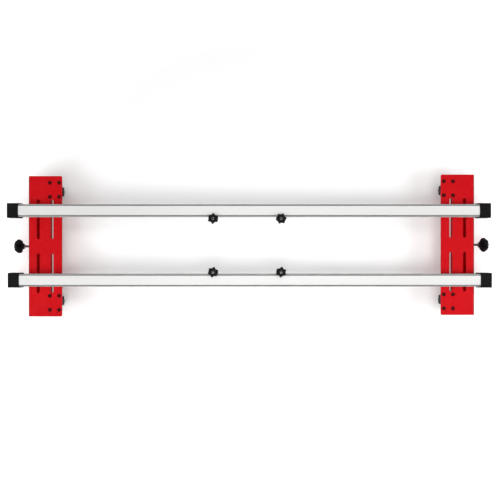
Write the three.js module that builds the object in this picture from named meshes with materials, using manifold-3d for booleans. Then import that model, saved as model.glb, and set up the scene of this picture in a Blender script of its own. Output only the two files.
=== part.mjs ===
// Router sled: two aluminium rails carried on two wheeled steel end brackets.
// Millimetres, +Z up. X runs along the rails and Y across them. The origin lies on
// the floor, midway between the brackets.
import * as THREE from 'three';
import { mergeVertices } from 'three/addons/utils/BufferGeometryUtils.js';
import Module from 'manifold-3d';

const wasm = await Module();
wasm.setup();

// Fits that the whole object shares
const gap = 0.3; // between pieces that touch
const overrun = 5; // how far a cutting tool reaches past a face

// End brackets: folded steel channels that open towards each other
const bracketLength = 450; // across the rails
const bracketTop = 113; // top face above the floor
const topFlange = 108;
const webHeight = 80;
const steel = 4;
const bendInside = 2.5;
const lowerFlange = 56;
const flangePastSlots = 10; // how far the lower flange runs on past the slots' ends
const webEndHeight = 42; // left of the web where its lower corners are clipped
const bracketCorner = 4;
const leftBracketOffset = -2.6; // across, from the middle of the rails
const rightBracketOffset = 2.2;

// Slots in the top flange, two in line on two lines
const slotWidth = 9;
const slotStart = 23.5; // from the bracket's middle
const slotToLeg = 2.5;
const outerSlotPlace = 31.8; // from the bracket's outer face
const innerSlotPlace = 76;

// Two blind pilot holes by the front end of the top flange
const pilotDiameter = 3.5;
const pilotDepth = 2.5;
const pilotFromEnd = 11;
const pilotPlace = 70.6;
const pilotPitch = 21.1;

// Rails: one extruded aluminium profile
const railLength = 1500;
const railOverhang = 35.25; // past the brackets' outer faces
const railSize = 40;
const railWall = 3;
const railRib = 2.2;
const railFromEnd = 115; // a rail's middle, from the end of the bracket
const rearRailShift = -8; // along, from the middle of the brackets
const frontRailShift = -5.2;
const railCorner = 2.5;
const trackHeight = 17.5; // clear height of the channel on the inner side
const lipDepth = 2.5;
const lipThickness = 2.5;
const slotMouthPlay = 0.4; // bolt to each lip of the lower slot

// End caps: moulded boxes pushed over the rails
const capWall = 3;
const capBeyond = 12; // past the end of the rail
const capTopReach = 33; // of the top and bottom walls, from the outer end
const capCornerReach = 35.5;
const capWingReach = 43; // of the side walls
const capCorner = 3;

// M8 bolts that hold the rails down, each with a flange nut
const clampBolt = 8;
const clampHeadFlats = 13;
const clampHeadHeight = 5.3;
const clampNutFlange = 16;
const clampNutFlangeHeight = 1.8;
const clampNutHeight = 8;
const clampBoltProud = 2.7;
const boltChamfer = 1;

// Wheel legs: slotted steel angles screwed up under the top flange
const legFromEnd = 44; // its middle, from the bracket's end
const legWidth = 59;
const legFlange = 50;
const legLeafPlace = 57.25; // its outer face, from the bracket's outer face
const legTipWidth = 34;
const legTaperTop = 78;
const legBottom = 12;
const wheelLift = 30; // travel of the axle in its slot

// M6 countersunk screws through the top flange, four to a leg
const screwSize = 6;
const screwHead = 12;
const screwPitchAcross = 45;
const screwPlace = 69; // the outer pair, from the bracket's outer face
const screwPitchAlong = 29.5;
const screwNutFlats = 10;
const screwNutHeight = 5;
const screwProud = 1.7;

// Wheels and their axles
const wheelDiameter = 50;
const wheelWidth = 14;
const wheelHub = 20;
const wheelWeb = 7;
const tyreDepth = 6;
const tyreRound = 2;
const axle = 8;
const axleHeadFlats = 13;
const axleHeadHeight = 4.5;
const axleIntoKnob = 12;
const bushWall = 1.4;
const bushFlange = 18;
const bushFlangeHeight = 1.4;
const wheelPlay = 0.4; // side play of the wheel on its bush

// Small star knobs
const starDiameter = 35;
const starHeight = 11;
const starRound = 2;
const starHub = 16;
const starHubHeight = 3;
const starDish = 12;
const starDishDepth = 2.2;
const starCentre = 5;
const starValleyShare = 0.7; // valley radius over lobe radius
const starLobes = 6;

// Stops that slide in the rails' inner channels
const stopStudPlace = 26; // from the rail's middle, inward
const stopStud = 6;
const stopLength = 30;
const stopInner = 34; // the block's inward end, from the rail's middle
const stopTail = 6; // its outward end, beyond the rail's middle
const stopBelowTop = 1;
const stopFloorPlay = 2.3; // the block hangs from the lip, clear of chips on the channel's floor
const stopCorner = 6;
const stopStudFloor = 2.4; // block left under the end of the stud
const washerDiameter = 24;
const washerThickness = 1.6;
const leftStopPlace = -120.8;
const rightStopPlace = 93.3;
const rearLeftStarTurn = 30; // degrees
const rearRightStarTurn = 6;
const frontLeftStarTurn = 17;
const frontRightStarTurn = 24;

// Lock screws through the brackets' webs, with their large knobs
const lockHeight = 73; // axis above the floor
const lockScrew = 8;
const lockHoleDiameter = 9;
const lockNutFlats = 13;
const lockNutHeight = 8;
const lockTip = 14.5; // end of the screw, inward of the bracket's outer face
const lockShaft = 23.5; // left bare between web and knob
const lockHub = 16;
const lockHubLength = 10;
const lockKnobDiameter = 46;
const lockKnobLength = 21;
const lockKnobRound = 3;
const lockKnobDish = 20;
const lockKnobDishDepth = 2.5;
const lockKnobCentre = 7;
const lockKnobLobes = 8;
const lockValleyShare = 0.82;
const lockScrewIntoKnob = 24;

// Facets of round forms
const wheelSides = 20;
const roundSides = 16;
const boltSides = 8;
const arcSides = 2; // half the facets of each arc
const lobeSides = 5;

// Sizes that follow from those above
const bendOutside = bendInside + steel;
const webBottom = bracketTop - webHeight;
const bracketSpan = railLength - 2 * railOverhang; // over the outer faces of the pair
const legPlace = bracketLength / 2 - legFromEnd;
const railPlace = bracketLength / 2 - railFromEnd;
const legEdge = legPlace - legWidth / 2;
const slotEnd = legEdge - slotToLeg; // from the bracket's middle
const lowerFlangeLength = 2 * (slotEnd + flangePastSlots);
const flangeUnder = bracketTop - steel;
const railBottom = bracketTop + gap;
const railTop = railBottom + railSize;
const railHalf = railSize / 2;
const trackFloor = railSize - railWall - trackHeight; // above the rail's underside
const trackRoof = railSize - railWall;
const boltRadius = clampBolt / 2;
const chamberHalf = clampHeadFlats / 2 + gap;
const wheelRadius = wheelDiameter / 2;
const lockRoot = lockShaft + lockHubLength;

const redSteel = new THREE.MeshStandardMaterial({ color: 0xc8141e, roughness: 0.42, metalness: 0.1 });
const aluminium = new THREE.MeshStandardMaterial({ color: 0xe6e6e4, roughness: 0.35, metalness: 0.9 });
const blackPlastic = new THREE.MeshStandardMaterial({ color: 0x1b1b1b, roughness: 0.55, metalness: 0 });
const zincSteel = new THREE.MeshStandardMaterial({ color: 0xa9abad, roughness: 0.4, metalness: 1 });
const whiteNylon = new THREE.MeshStandardMaterial({ color: 0xe9e7df, roughness: 0.6, metalness: 0 });
const blackRubber = new THREE.MeshStandardMaterial({ color: 0x242424, roughness: 0.8, metalness: 0 });

// A closed geometry as a solid, and a solid as a geometry
function solidOf(geometry) {
  const bare = geometry.index ? geometry.toNonIndexed() : geometry.clone();
  bare.deleteAttribute('normal');
  bare.deleteAttribute('uv');
  const merged = mergeVertices(bare);
  return new wasm.Manifold(new wasm.Mesh({
    numProp: 3,
    vertProperties: merged.getAttribute('position').array,
    triVerts: Uint32Array.from(merged.index.array),
  }));
}

function geometryOf(solid) {
  const mesh = solid.getMesh();
  const indexed = new THREE.BufferGeometry();
  indexed.setAttribute('position', new THREE.BufferAttribute(mesh.vertProperties, 3));
  indexed.setIndex(new THREE.BufferAttribute(mesh.triVerts, 1));
  const geometry = indexed.toNonIndexed();
  geometry.computeVertexNormals();
  return geometry;
}

function joined(first, ...others) {
  return geometryOf(others.reduce((sum, other) => sum.add(solidOf(other)), solidOf(first)));
}

function without(base, ...tools) {
  return geometryOf(tools.reduce((rest, tool) => rest.subtract(solidOf(tool)), solidOf(base)));
}

function common(first, second) {
  return geometryOf(solidOf(first).intersect(solidOf(second)));
}

// The same form seen in a mirror across the YZ plane
function mirrored(geometry) {
  const copy = geometry.index ? geometry.toNonIndexed() : geometry.clone();
  const place = copy.getAttribute('position');
  const corner = new THREE.Vector3();
  const other = new THREE.Vector3();
  for (let i = 0; i < place.count; i += 3) {
    place.setX(i, -place.getX(i));
    corner.fromBufferAttribute(place, i + 1);
    other.fromBufferAttribute(place, i + 2);
    place.setXYZ(i + 1, -other.x, other.y, other.z);
    place.setXYZ(i + 2, -corner.x, corner.y, corner.z);
  }
  copy.computeVertexNormals();
  return copy;
}

function shapeOf(points) {
  return new THREE.Shape(points.map(([a, b]) => new THREE.Vector2(a, b)));
}

// A shape in XY raised from one height to another
function raised(shape, bottom, top) {
  const geometry = new THREE.ExtrudeGeometry(shape, {
    depth: top - bottom, bevelEnabled: false, curveSegments: arcSides,
  });
  return geometry.translate(0, 0, bottom);
}

// A shape given in (x, z), run along Y
function runAcross(shape, from, to) {
  return raised(shape, -to, -from).rotateX(Math.PI / 2);
}

// A shape given in (y, z), run along X
function runAlong(shape, from, to) {
  return raised(shape, from, to).rotateX(Math.PI / 2).rotateZ(Math.PI / 2);
}

// A profile in (radius, height) turned about Z
function turned(profile, sides) {
  const points = profile.map(([radius, height]) => new THREE.Vector2(radius, height));
  return new THREE.LatheGeometry(points, sides).rotateX(Math.PI / 2);
}

function rod(radius, bottom, top, sides) {
  return turned([[0, bottom], [radius, bottom], [radius, top], [0, top]], sides);
}

function hexagon(flats, bottom, top) {
  const corner = flats / Math.sqrt(3);
  return rod(corner, bottom, top, 6);
}

// Turns a form that stands along Z so that it lies along X
function laidAlong(geometry) {
  return geometry.rotateY(Math.PI / 2);
}

// A rectangle with round corners, centred on its middle
function roundedRectangle(width, height, radius) {
  const x = width / 2;
  const y = height / 2;
  const shape = new THREE.Shape();
  shape.moveTo(-x + radius, -y);
  shape.lineTo(x - radius, -y);
  shape.absarc(x - radius, -y + radius, radius, -Math.PI / 2, 0);
  shape.lineTo(x, y - radius);
  shape.absarc(x - radius, y - radius, radius, 0, Math.PI / 2);
  shape.lineTo(-x + radius, y);
  shape.absarc(-x + radius, y - radius, radius, Math.PI / 2, Math.PI);
  shape.lineTo(-x, -y + radius);
  shape.absarc(-x + radius, -y + radius, radius, Math.PI, Math.PI * 1.5);
  return shape;
}

// A slot with round ends, its middle line from one place to another along Y
function slotShape(width, from, to) {
  const radius = width / 2;
  const shape = new THREE.Shape();
  shape.absarc(0, to - radius, radius, 0, Math.PI / 2);
  shape.absarc(0, to - radius, radius, Math.PI / 2, Math.PI);
  shape.absarc(0, from + radius, radius, Math.PI, Math.PI * 1.5);
  shape.absarc(0, from + radius, radius, Math.PI * 1.5, Math.PI * 2);
  return shape;
}

// An outline with lobes, as a formula of the angle
function lobedShape(diameter, valleyShare, lobes, sharpness) {
  const count = lobes * lobeSides;
  const points = [];
  for (let i = 0; i < count; i += 1) {
    const angle = (i / count) * Math.PI * 2;
    const rise = (0.5 + 0.5 * Math.cos(lobes * angle)) ** sharpness;
    const radius = (diameter / 2) * (valleyShare + (1 - valleyShare) * rise);
    points.push([radius * Math.cos(angle), radius * Math.sin(angle)]);
  }
  return shapeOf(points);
}

// A lobed head with rounded rims, from one height to another
function lobedHead(shape, bottom, top, round) {
  const geometry = new THREE.ExtrudeGeometry(shape, {
    depth: top - bottom - 2 * round,
    bevelThickness: round,
    bevelSize: round,
    bevelOffset: -round,
    bevelSegments: 1,
  });
  return geometry.translate(0, 0, bottom + round);
}

// The places of a bracket's four screw groups and slots, mirrored front to rear
const frontAndRear = [-1, 1];

// The holes of a leg's four screws, from the bracket's outer face and middle
function screwPlaces(side) {
  const places = [];
  for (const along of [screwPlace, screwPlace + screwPitchAlong]) {
    for (const across of frontAndRear) {
      places.push([along, side * legPlace + across * screwPitchAcross / 2]);
    }
  }
  return places;
}

// Bracket, from its outer face at x = 0, opening towards +X
function bracketGeometry() {
  const profile = new THREE.Shape();
  profile.moveTo(topFlange, flangeUnder);
  profile.lineTo(topFlange, bracketTop);
  profile.lineTo(bendOutside, bracketTop);
  profile.absarc(bendOutside, bracketTop - bendOutside, bendOutside, Math.PI / 2, Math.PI);
  profile.lineTo(0, webBottom + bendOutside);
  profile.absarc(bendOutside, webBottom + bendOutside, bendOutside, Math.PI, Math.PI * 1.5);
  profile.lineTo(lowerFlange, webBottom);
  profile.lineTo(lowerFlange, webBottom + steel);
  profile.lineTo(bendOutside, webBottom + steel);
  profile.absarc(bendOutside, webBottom + bendOutside, bendInside, Math.PI * 1.5, Math.PI, true);
  profile.lineTo(steel, bracketTop - bendOutside);
  profile.absarc(bendOutside, bracketTop - bendOutside, bendInside, Math.PI, Math.PI / 2, true);
  const folded = runAcross(profile, -bracketLength / 2, bracketLength / 2);

  const plan = roundedRectangle(topFlange + bracketCorner, bracketLength, bracketCorner);
  const rounded = common(folded, raised(plan, 0, bracketTop + overrun)
    .translate((topFlange - bracketCorner) / 2, 0, 0));

  const tools = [];
  for (const side of frontAndRear) {
    const clip = shapeOf([
      [side * lowerFlangeLength / 2, webBottom - overrun],
      [side * (bracketLength / 2 + overrun), webBottom - overrun],
      [side * (bracketLength / 2 + overrun), bracketTop - webEndHeight],
      [side * bracketLength / 2, bracketTop - webEndHeight],
      [side * lowerFlangeLength / 2, webBottom + bendOutside],
    ]);
    tools.push(runAlong(clip, -overrun, lowerFlange + overrun));
    for (const place of [outerSlotPlace, innerSlotPlace]) {
      const slot = slotShape(slotWidth, slotStart, slotEnd);
      const tool = raised(slot, flangeUnder - overrun, bracketTop + overrun);
      tools.push(tool.rotateZ(side < 0 ? Math.PI : 0).translate(place, 0, 0));
    }
    for (const [along, across] of screwPlaces(side)) {
      const hole = turned([
        [0, flangeUnder - overrun],
        [screwSize / 2 + gap, flangeUnder - overrun],
        [screwSize / 2 + gap, bracketTop - (screwHead - screwSize) / 2],
        [screwHead / 2 + gap, bracketTop],
        [screwHead / 2 + gap, bracketTop + overrun],
        [0, bracketTop + overrun],
      ], boltSides);
      tools.push(hole.translate(along, across, 0));
    }
  }
  for (const place of [pilotPlace, pilotPlace + pilotPitch]) {
    tools.push(rod(pilotDiameter / 2, bracketTop - pilotDepth, bracketTop + overrun, boltSides)
      .translate(place, pilotFromEnd - bracketLength / 2, 0));
  }
  tools.push(laidAlong(rod(lockHoleDiameter / 2, -overrun, steel + overrun, roundSides))
    .translate(0, 0, lockHeight));

  // The weld nut behind the web is one piece with it
  const nut = without(
    hexagon(lockNutFlats, steel, steel + lockNutHeight),
    rod(lockScrew / 2 + gap, 0, steel + lockNutHeight + overrun, roundSides),
  );
  return joined(without(rounded, ...tools), laidAlong(nut).translate(0, 0, lockHeight));
}

// Leg with its four screws and nuts, as one bolted-up piece
function legGeometry(side) {
  const flangeTop = flangeUnder - gap;
  const leafInner = legLeafPlace + steel;
  const bendPlace = legLeafPlace + bendOutside;
  const profile = new THREE.Shape();
  profile.moveTo(legLeafPlace + legFlange, flangeTop - steel);
  profile.lineTo(legLeafPlace + legFlange, flangeTop);
  profile.lineTo(bendPlace, flangeTop);
  profile.absarc(bendPlace, flangeTop - bendOutside, bendOutside, Math.PI / 2, Math.PI);
  profile.lineTo(legLeafPlace, legBottom);
  profile.lineTo(leafInner, legBottom);
  profile.lineTo(leafInner, flangeTop - bendOutside);
  profile.absarc(bendPlace, flangeTop - bendOutside, bendInside, Math.PI, Math.PI / 2, true);
  const folded = runAcross(profile, -legWidth / 2, legWidth / 2);

  const tipRadius = legTipWidth / 2;
  const front = new THREE.Shape();
  front.moveTo(legWidth / 2, flangeTop + overrun);
  front.lineTo(-legWidth / 2, flangeTop + overrun);
  front.lineTo(-legWidth / 2, legTaperTop);
  front.absarc(0, legBottom + tipRadius, tipRadius, Math.PI, Math.PI * 1.5);
  front.absarc(0, legBottom + tipRadius, tipRadius, Math.PI * 1.5, Math.PI * 2);
  front.lineTo(legWidth / 2, legTaperTop);
  const shaped = common(folded, runAlong(front, 0, legLeafPlace + legFlange + overrun));

  const slotBottom = wheelRadius - axle / 2 - gap;
  const slotTop = wheelRadius + wheelLift + axle / 2 + gap;
  const slot = slotShape(axle + 2 * gap, slotBottom, slotTop);
  const tool = runAlong(slot, legLeafPlace - overrun, leafInner + overrun);
  const leg = without(shaped, tool).translate(0, side * legPlace, 0);

  const headBottom = bracketTop - (screwHead - screwSize) / 2;
  const nutBottom = flangeTop - steel - screwNutHeight;
  const fixings = screwPlaces(side).map(([along, across]) => {
    const shank = turned([
      [0, nutBottom - screwProud],
      [screwSize / 2, nutBottom - screwProud],
      [screwSize / 2, headBottom],
      [screwHead / 2, bracketTop],
      [0, bracketTop],
    ], boltSides);
    const nut = hexagon(screwNutFlats, nutBottom, flangeTop - steel / 2);
    return joined(shank, nut).translate(along, across, 0);
  });
  return joined(leg, ...fixings);
}

// Rail section in (inward, up) from the middle of its underside
function railGeometry() {
  const mouth = boltRadius + slotMouthPlay;
  const section = new THREE.Shape();
  section.moveTo(mouth, 0);
  section.lineTo(railHalf - railCorner, 0);
  section.absarc(railHalf - railCorner, railCorner, railCorner, -Math.PI / 2, 0);
  section.lineTo(railHalf, trackFloor);
  section.lineTo(railWall - railHalf, trackFloor);
  section.lineTo(railWall - railHalf, trackRoof);
  section.lineTo(railHalf - lipThickness, trackRoof);
  section.lineTo(railHalf - lipThickness, trackRoof - lipDepth);
  section.lineTo(railHalf, trackRoof - lipDepth);
  section.lineTo(railHalf, railSize - railCorner);
  section.absarc(railHalf - railCorner, railSize - railCorner, railCorner, 0, Math.PI / 2);
  section.lineTo(railCorner - railHalf, railSize);
  section.absarc(railCorner - railHalf, railSize - railCorner, railCorner, Math.PI / 2, Math.PI);
  section.lineTo(-railHalf, railCorner);
  section.absarc(railCorner - railHalf, railCorner, railCorner, Math.PI, Math.PI * 1.5);
  section.lineTo(-mouth, 0);
  section.lineTo(-mouth, railWall);
  section.lineTo(-chamberHalf, railWall);
  section.lineTo(-chamberHalf, trackFloor - railWall);
  section.lineTo(chamberHalf, trackFloor - railWall);
  section.lineTo(chamberHalf, railWall);
  section.lineTo(mouth, railWall);
  const reach = railLength / 2;
  const cells = frontAndRear.map((side) => {
    const inner = side * (chamberHalf + railRib);
    const outer = side * (railHalf - railWall);
    return runAlong(shapeOf([
      [inner, railWall],
      [outer, railWall],
      [outer, trackFloor - railWall],
      [inner, trackFloor - railWall],
    ]), -reach - overrun, reach + overrun);
  });
  return without(runAlong(section, -reach, reach), ...cells);
}

// Cap over the end of a rail, its closed face at x = 0, open towards +X
function capGeometry() {
  const inside = railSize + 2 * gap;
  const outside = inside + 2 * capWall;
  const box = runAlong(roundedRectangle(outside, outside, capCorner), 0, capWingReach);
  const cavity = runAlong(
    roundedRectangle(inside, inside, railCorner),
    capBeyond - gap,
    capWingReach + overrun,
  );
  const half = outside / 2;
  const reach = capWingReach + overrun;
  // Seen from the side, the mouth runs out in a wing at half height
  const wing = new THREE.Shape();
  wing.moveTo(-overrun, -half - overrun);
  wing.lineTo(capCornerReach, -half - overrun);
  wing.lineTo(capCornerReach, -half);
  wing.quadraticCurveTo(2 * capWingReach - capCornerReach, 0, capCornerReach, half);
  wing.lineTo(capCornerReach, half + overrun);
  wing.lineTo(-overrun, half + overrun);
  // Seen from above, the top and bottom walls are hollowed between their corners
  const hollow = new THREE.Shape();
  hollow.moveTo(capCornerReach, -half);
  hollow.quadraticCurveTo(2 * capTopReach - capCornerReach, 0, capCornerReach, half);
  hollow.lineTo(reach, half);
  hollow.lineTo(reach, -half);
  const mouth = inside / 2;
  const trimmed = common(box, runAcross(wing, -half - overrun, half + overrun));
  const lidTool = common(
    raised(hollow, -half - overrun, half + overrun),
    runAlong(shapeOf([
      [-mouth, -half - overrun], [mouth, -half - overrun],
      [mouth, half + overrun], [-mouth, half + overrun],
    ]), 0, reach),
  );
  return without(trimmed, cavity, lidTool);
}

// T-slot bolt, its head resting on the lips of a rail's lower slot
function clampBoltGeometry() {
  const headBottom = railBottom + railWall + gap;
  const bottom = flangeUnder - gap - clampNutHeight - clampBoltProud;
  const shank = turned([
    [0, bottom],
    [boltRadius, bottom],
    [boltRadius, headBottom + clampHeadHeight / 2],
    [0, headBottom + clampHeadHeight / 2],
  ], boltSides);
  const head = hexagon(clampHeadFlats, headBottom, headBottom + clampHeadHeight);
  return joined(shank, head.rotateZ(Math.PI / 6));
}

// Flange nut under the bracket's top flange
function clampNutGeometry() {
  const top = flangeUnder - gap;
  const flangeBottom = top - clampNutFlangeHeight;
  const flange = rod(clampNutFlange / 2, flangeBottom, top, roundSides);
  const body = hexagon(clampHeadFlats, top - clampNutHeight, flangeBottom + clampNutFlangeHeight / 2);
  const bore = rod(boltRadius + gap, top - clampNutHeight - overrun, top + overrun, boltSides);
  return without(joined(flange, body), bore);
}

// Block that runs in a rail's inner channel and hooks up behind its lip
function stopBlockGeometry() {
  const grooveOuter = railHalf - lipThickness - gap;
  const grooveInner = railHalf + gap;
  const roof = trackRoof - gap;
  const section = shapeOf([
    [-stopTail, trackFloor + stopFloorPlay],
    [stopInner, trackFloor + stopFloorPlay],
    [stopInner, railSize - stopBelowTop],
    [grooveInner, railSize - stopBelowTop],
    [grooveInner, trackRoof - lipDepth - gap],
    [grooveOuter, trackRoof - lipDepth - gap],
    [grooveOuter, roof],
    [-stopTail, roof],
  ]);
  const bar = runAlong(section, -stopLength / 2, stopLength / 2);
  const plan = roundedRectangle(stopLength, stopInner + stopTail + stopCorner, stopCorner);
  const rounded = common(bar, raised(plan, 0, railSize + overrun)
    .translate(0, (stopInner - stopTail - stopCorner) / 2, 0));
  const hole = rod(stopStud / 2 + gap, 0, railSize + overrun, roundSides);
  return without(rounded, hole.translate(0, stopStudPlace, 0));
}

function stopWasherGeometry() {
  const inner = stopStud / 2 + gap;
  const outer = washerDiameter / 2;
  return turned([
    [inner, 0], [outer, 0], [outer, washerThickness], [inner, washerThickness], [inner, 0],
  ], roundSides);
}

// Star knob standing on z = 0 with a moulded stud below
function studKnobGeometry(studLength) {
  const star = lobedShape(starDiameter, starValleyShare, starLobes, 1.3);
  const top = starHubHeight + starHeight;
  const dish = turned([
    [0, top - starDishDepth],
    [starCentre / 2, top - starDishDepth],
    [starDish / 2, top],
    [starDish / 2, top + overrun],
    [0, top + overrun],
  ], boltSides);
  const head = without(lobedHead(star, starHubHeight, top, starRound), dish);
  const hub = rod(starHub / 2, 0, starHubHeight + starRound, roundSides);
  const stud = turned([
    [0, -studLength],
    [stopStud / 2 - gap, -studLength],
    [stopStud / 2, gap - studLength],
    [stopStud / 2, starHubHeight],
    [0, starHubHeight],
  ], boltSides);
  return joined(head, hub, stud);
}

// Star knob with a blind bore for the wheel's axle, its face at x = 0
function wheelKnobGeometry() {
  const star = lobedShape(starDiameter, starValleyShare, starLobes, 1.3);
  const head = lobedHead(star, starHubHeight, starHubHeight + starHeight, starRound);
  const hub = rod(bushFlange / 2, 0, starHubHeight + starRound, roundSides);
  const bore = rod(axle / 2 + gap, -overrun, axleIntoKnob + gap, boltSides);
  return laidAlong(without(joined(head, hub), bore));
}

// Axle bolt: head outboard of the leg, shank inward, from the leg's outer face
function axleBoltGeometry() {
  const inner = steel + gap + bushLength() + gap + axleIntoKnob;
  const shank = turned([
    [0, -gap - axleHeadHeight / 2],
    [axle / 2, -gap - axleHeadHeight / 2],
    [axle / 2, inner - boltChamfer],
    [axle / 2 - boltChamfer, inner],
    [0, inner],
  ], boltSides);
  return laidAlong(joined(hexagon(axleHeadFlats, -gap - axleHeadHeight, -gap), shank));
}

// The bush holds the wheel between its flange and the knob
function bushLength() {
  return bushFlangeHeight + wheelPlay + wheelWidth + wheelPlay;
}

function bushGeometry() {
  const inner = axle / 2 + gap;
  const outer = inner + bushWall;
  return laidAlong(turned([
    [inner, 0],
    [bushFlange / 2, 0],
    [bushFlange / 2, bushFlangeHeight],
    [outer, bushFlangeHeight],
    [outer, bushLength()],
    [inner, bushLength()],
    [inner, 0],
  ], roundSides));
}

// Wheel: tyre, thin web and hub about its bore
function wheelGeometry() {
  const bore = axle / 2 + gap + bushWall + gap;
  const half = wheelWidth / 2;
  const web = wheelWeb / 2;
  const hub = wheelHub / 2;
  const rim = wheelRadius - tyreDepth;
  return laidAlong(turned([
    [bore, -half],
    [hub, -half],
    [hub, -web],
    [rim, -web],
    [rim, -half],
    [wheelRadius - tyreRound, -half],
    [wheelRadius, tyreRound - half],
    [wheelRadius, half - tyreRound],
    [wheelRadius - tyreRound, half],
    [rim, half],
    [rim, web],
    [hub, web],
    [hub, half],
    [bore, half],
    [bore, -half],
  ], wheelSides));
}

// Lock screw with a rounded tip, from the bracket's outer face at x = 0
function lockScrewGeometry() {
  const radius = lockScrew / 2;
  const outer = -lockShaft - lockScrewIntoKnob;
  return laidAlong(turned([
    [0, outer],
    [radius, outer],
    [radius, lockTip - radius / 2],
    [radius * Math.cos(Math.PI / 6), lockTip - radius / 4],
    [radius / 2, lockTip],
    [0, lockTip],
  ], roundSides));
}

// Large lobed knob on the lock screw, its hub towards the bracket
function lockKnobGeometry() {
  const outline = lobedShape(lockKnobDiameter, lockValleyShare, lockKnobLobes, 1);
  const outerEnd = lockRoot + lockKnobLength;
  const head = lobedHead(outline, lockRoot, outerEnd, lockKnobRound);
  const hub = turned([
    [0, lockShaft],
    [lockHub / 2 - boltChamfer, lockShaft],
    [lockHub / 2, lockShaft + boltChamfer],
    [lockHub / 2, lockRoot],
    [lockKnobDish / 2, lockRoot + lockKnobRound],
    [0, lockRoot + lockKnobRound],
  ], roundSides);
  const dish = turned([
    [0, outerEnd - lockKnobDishDepth],
    [lockKnobCentre / 2, outerEnd - lockKnobDishDepth],
    [lockKnobDish / 2, outerEnd],
    [lockKnobDish / 2, outerEnd + overrun],
    [0, outerEnd + overrun],
  ], roundSides);
  const bore = rod(
    lockScrew / 2 + gap,
    lockShaft - overrun,
    lockShaft + lockScrewIntoKnob + gap,
    roundSides,
  );
  return without(joined(head, hub), dish, bore).rotateY(-Math.PI / 2);
}

const sled = new THREE.Group();
sled.name = 'router_sled';

function addPiece(parent, name, geometry, material, x = 0, y = 0, z = 0) {
  const mesh = new THREE.Mesh(geometry, material);
  mesh.name = name;
  mesh.position.set(x, y, z);
  parent.add(mesh);
  return mesh;
}

const ends = [
  { name: 'left', side: -1, offset: leftBracketOffset },
  { name: 'right', side: 1, offset: rightBracketOffset },
];
const rails = [
  { name: 'rear', side: 1, shift: rearRailShift },
  { name: 'front', side: -1, shift: frontRailShift },
];

// Each end: bracket, two legs with wheels, and the lock screw. The right end is the
// left one seen in a mirror.
for (const end of ends) {
  const group = new THREE.Group();
  group.position.set(end.side * bracketSpan / 2, end.offset, 0);
  sled.add(group);
  const facing = (geometry) => (end.side < 0 ? geometry : mirrored(geometry));
  const inward = (distance) => -end.side * distance;

  addPiece(group, `${end.name}_bracket`, facing(bracketGeometry()), redSteel);
  addPiece(group, `${end.name}_lock_screw`, facing(lockScrewGeometry()), zincSteel, 0, 0, lockHeight);
  addPiece(group, `${end.name}_lock_knob`, facing(lockKnobGeometry()), blackPlastic, 0, 0, lockHeight);

  for (const corner of rails) {
    const place = `${corner.name}_${end.name}`;
    const across = corner.side * legPlace;
    const bushStart = legLeafPlace + steel + gap;
    const wheelMiddle = bushStart + bushFlangeHeight + wheelPlay + wheelWidth / 2;
    const knobFace = bushStart + bushLength() + gap;
    addPiece(group, `${place}_leg`, facing(legGeometry(corner.side)), redSteel);
    addPiece(group, `${place}_axle_bolt`, facing(axleBoltGeometry()), zincSteel,
      inward(legLeafPlace), across, wheelRadius);
    addPiece(group, `${place}_bush`, facing(bushGeometry()), whiteNylon,
      inward(bushStart), across, wheelRadius);
    addPiece(group, `${place}_wheel`, facing(wheelGeometry()), blackRubber,
      inward(wheelMiddle), across, wheelRadius);
    addPiece(group, `${place}_wheel_knob`, facing(wheelKnobGeometry()), blackPlastic,
      inward(knobFace), across, wheelRadius);
  }
}

// Each rail: profile, two caps, two stops, and the bolts that hold it to the brackets
const capTurn = { left: 0, right: Math.PI };
const stopPlaces = { left: leftStopPlace, right: rightStopPlace };
const starTurns = {
  rear_left: rearLeftStarTurn,
  rear_right: rearRightStarTurn,
  front_left: frontLeftStarTurn,
  front_right: frontRightStarTurn,
};
const washerBottom = railTop + gap;
const knobBottom = washerBottom + washerThickness + gap;
const studLength = knobBottom - railBottom - trackFloor - stopFloorPlay - stopStudFloor;

for (const rail of rails) {
  const group = new THREE.Group();
  group.position.set(0, rail.side * railPlace, 0);
  sled.add(group);
  // The rear rail is the same extrusion turned round, so both channels face inward
  const turn = rail.side > 0 ? Math.PI : 0;
  const profile = addPiece(group, `${rail.name}_rail`, railGeometry(), aluminium,
    rail.shift, 0, railBottom);
  profile.rotation.z = turn;

  for (const end of ends) {
    const place = `${rail.name}_${end.name}`;
    const capEnd = rail.shift + end.side * (railLength / 2 + capBeyond);
    const cap = addPiece(group, `${place}_cap`, capGeometry(), blackPlastic,
      capEnd, 0, railBottom + railHalf);
    cap.rotation.z = capTurn[end.name];

    const stop = new THREE.Group();
    stop.position.set(stopPlaces[end.name], 0, 0);
    stop.rotation.z = turn;
    group.add(stop);
    addPiece(stop, `${place}_stop_block`, stopBlockGeometry(), blackPlastic, 0, 0, railBottom);
    addPiece(stop, `${place}_stop_washer`, stopWasherGeometry(), zincSteel,
      0, stopStudPlace, washerBottom);
    const knob = addPiece(stop, `${place}_stop_knob`, studKnobGeometry(studLength), blackPlastic,
      0, stopStudPlace, knobBottom);
    knob.rotation.z = THREE.MathUtils.degToRad(starTurns[place]);

    for (const [line, inset] of [['outer', outerSlotPlace], ['inner', innerSlotPlace]]) {
      const along = end.side * (bracketSpan / 2 - inset);
      addPiece(group, `${place}_${line}_clamp_bolt`, clampBoltGeometry(), zincSteel, along);
      addPiece(group, `${place}_${line}_clamp_nut`, clampNutGeometry(), zincSteel, along);
    }
  }
}

export default sled;
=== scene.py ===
import math

import bmesh
import bpy
from mathutils import Matrix, Vector


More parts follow.
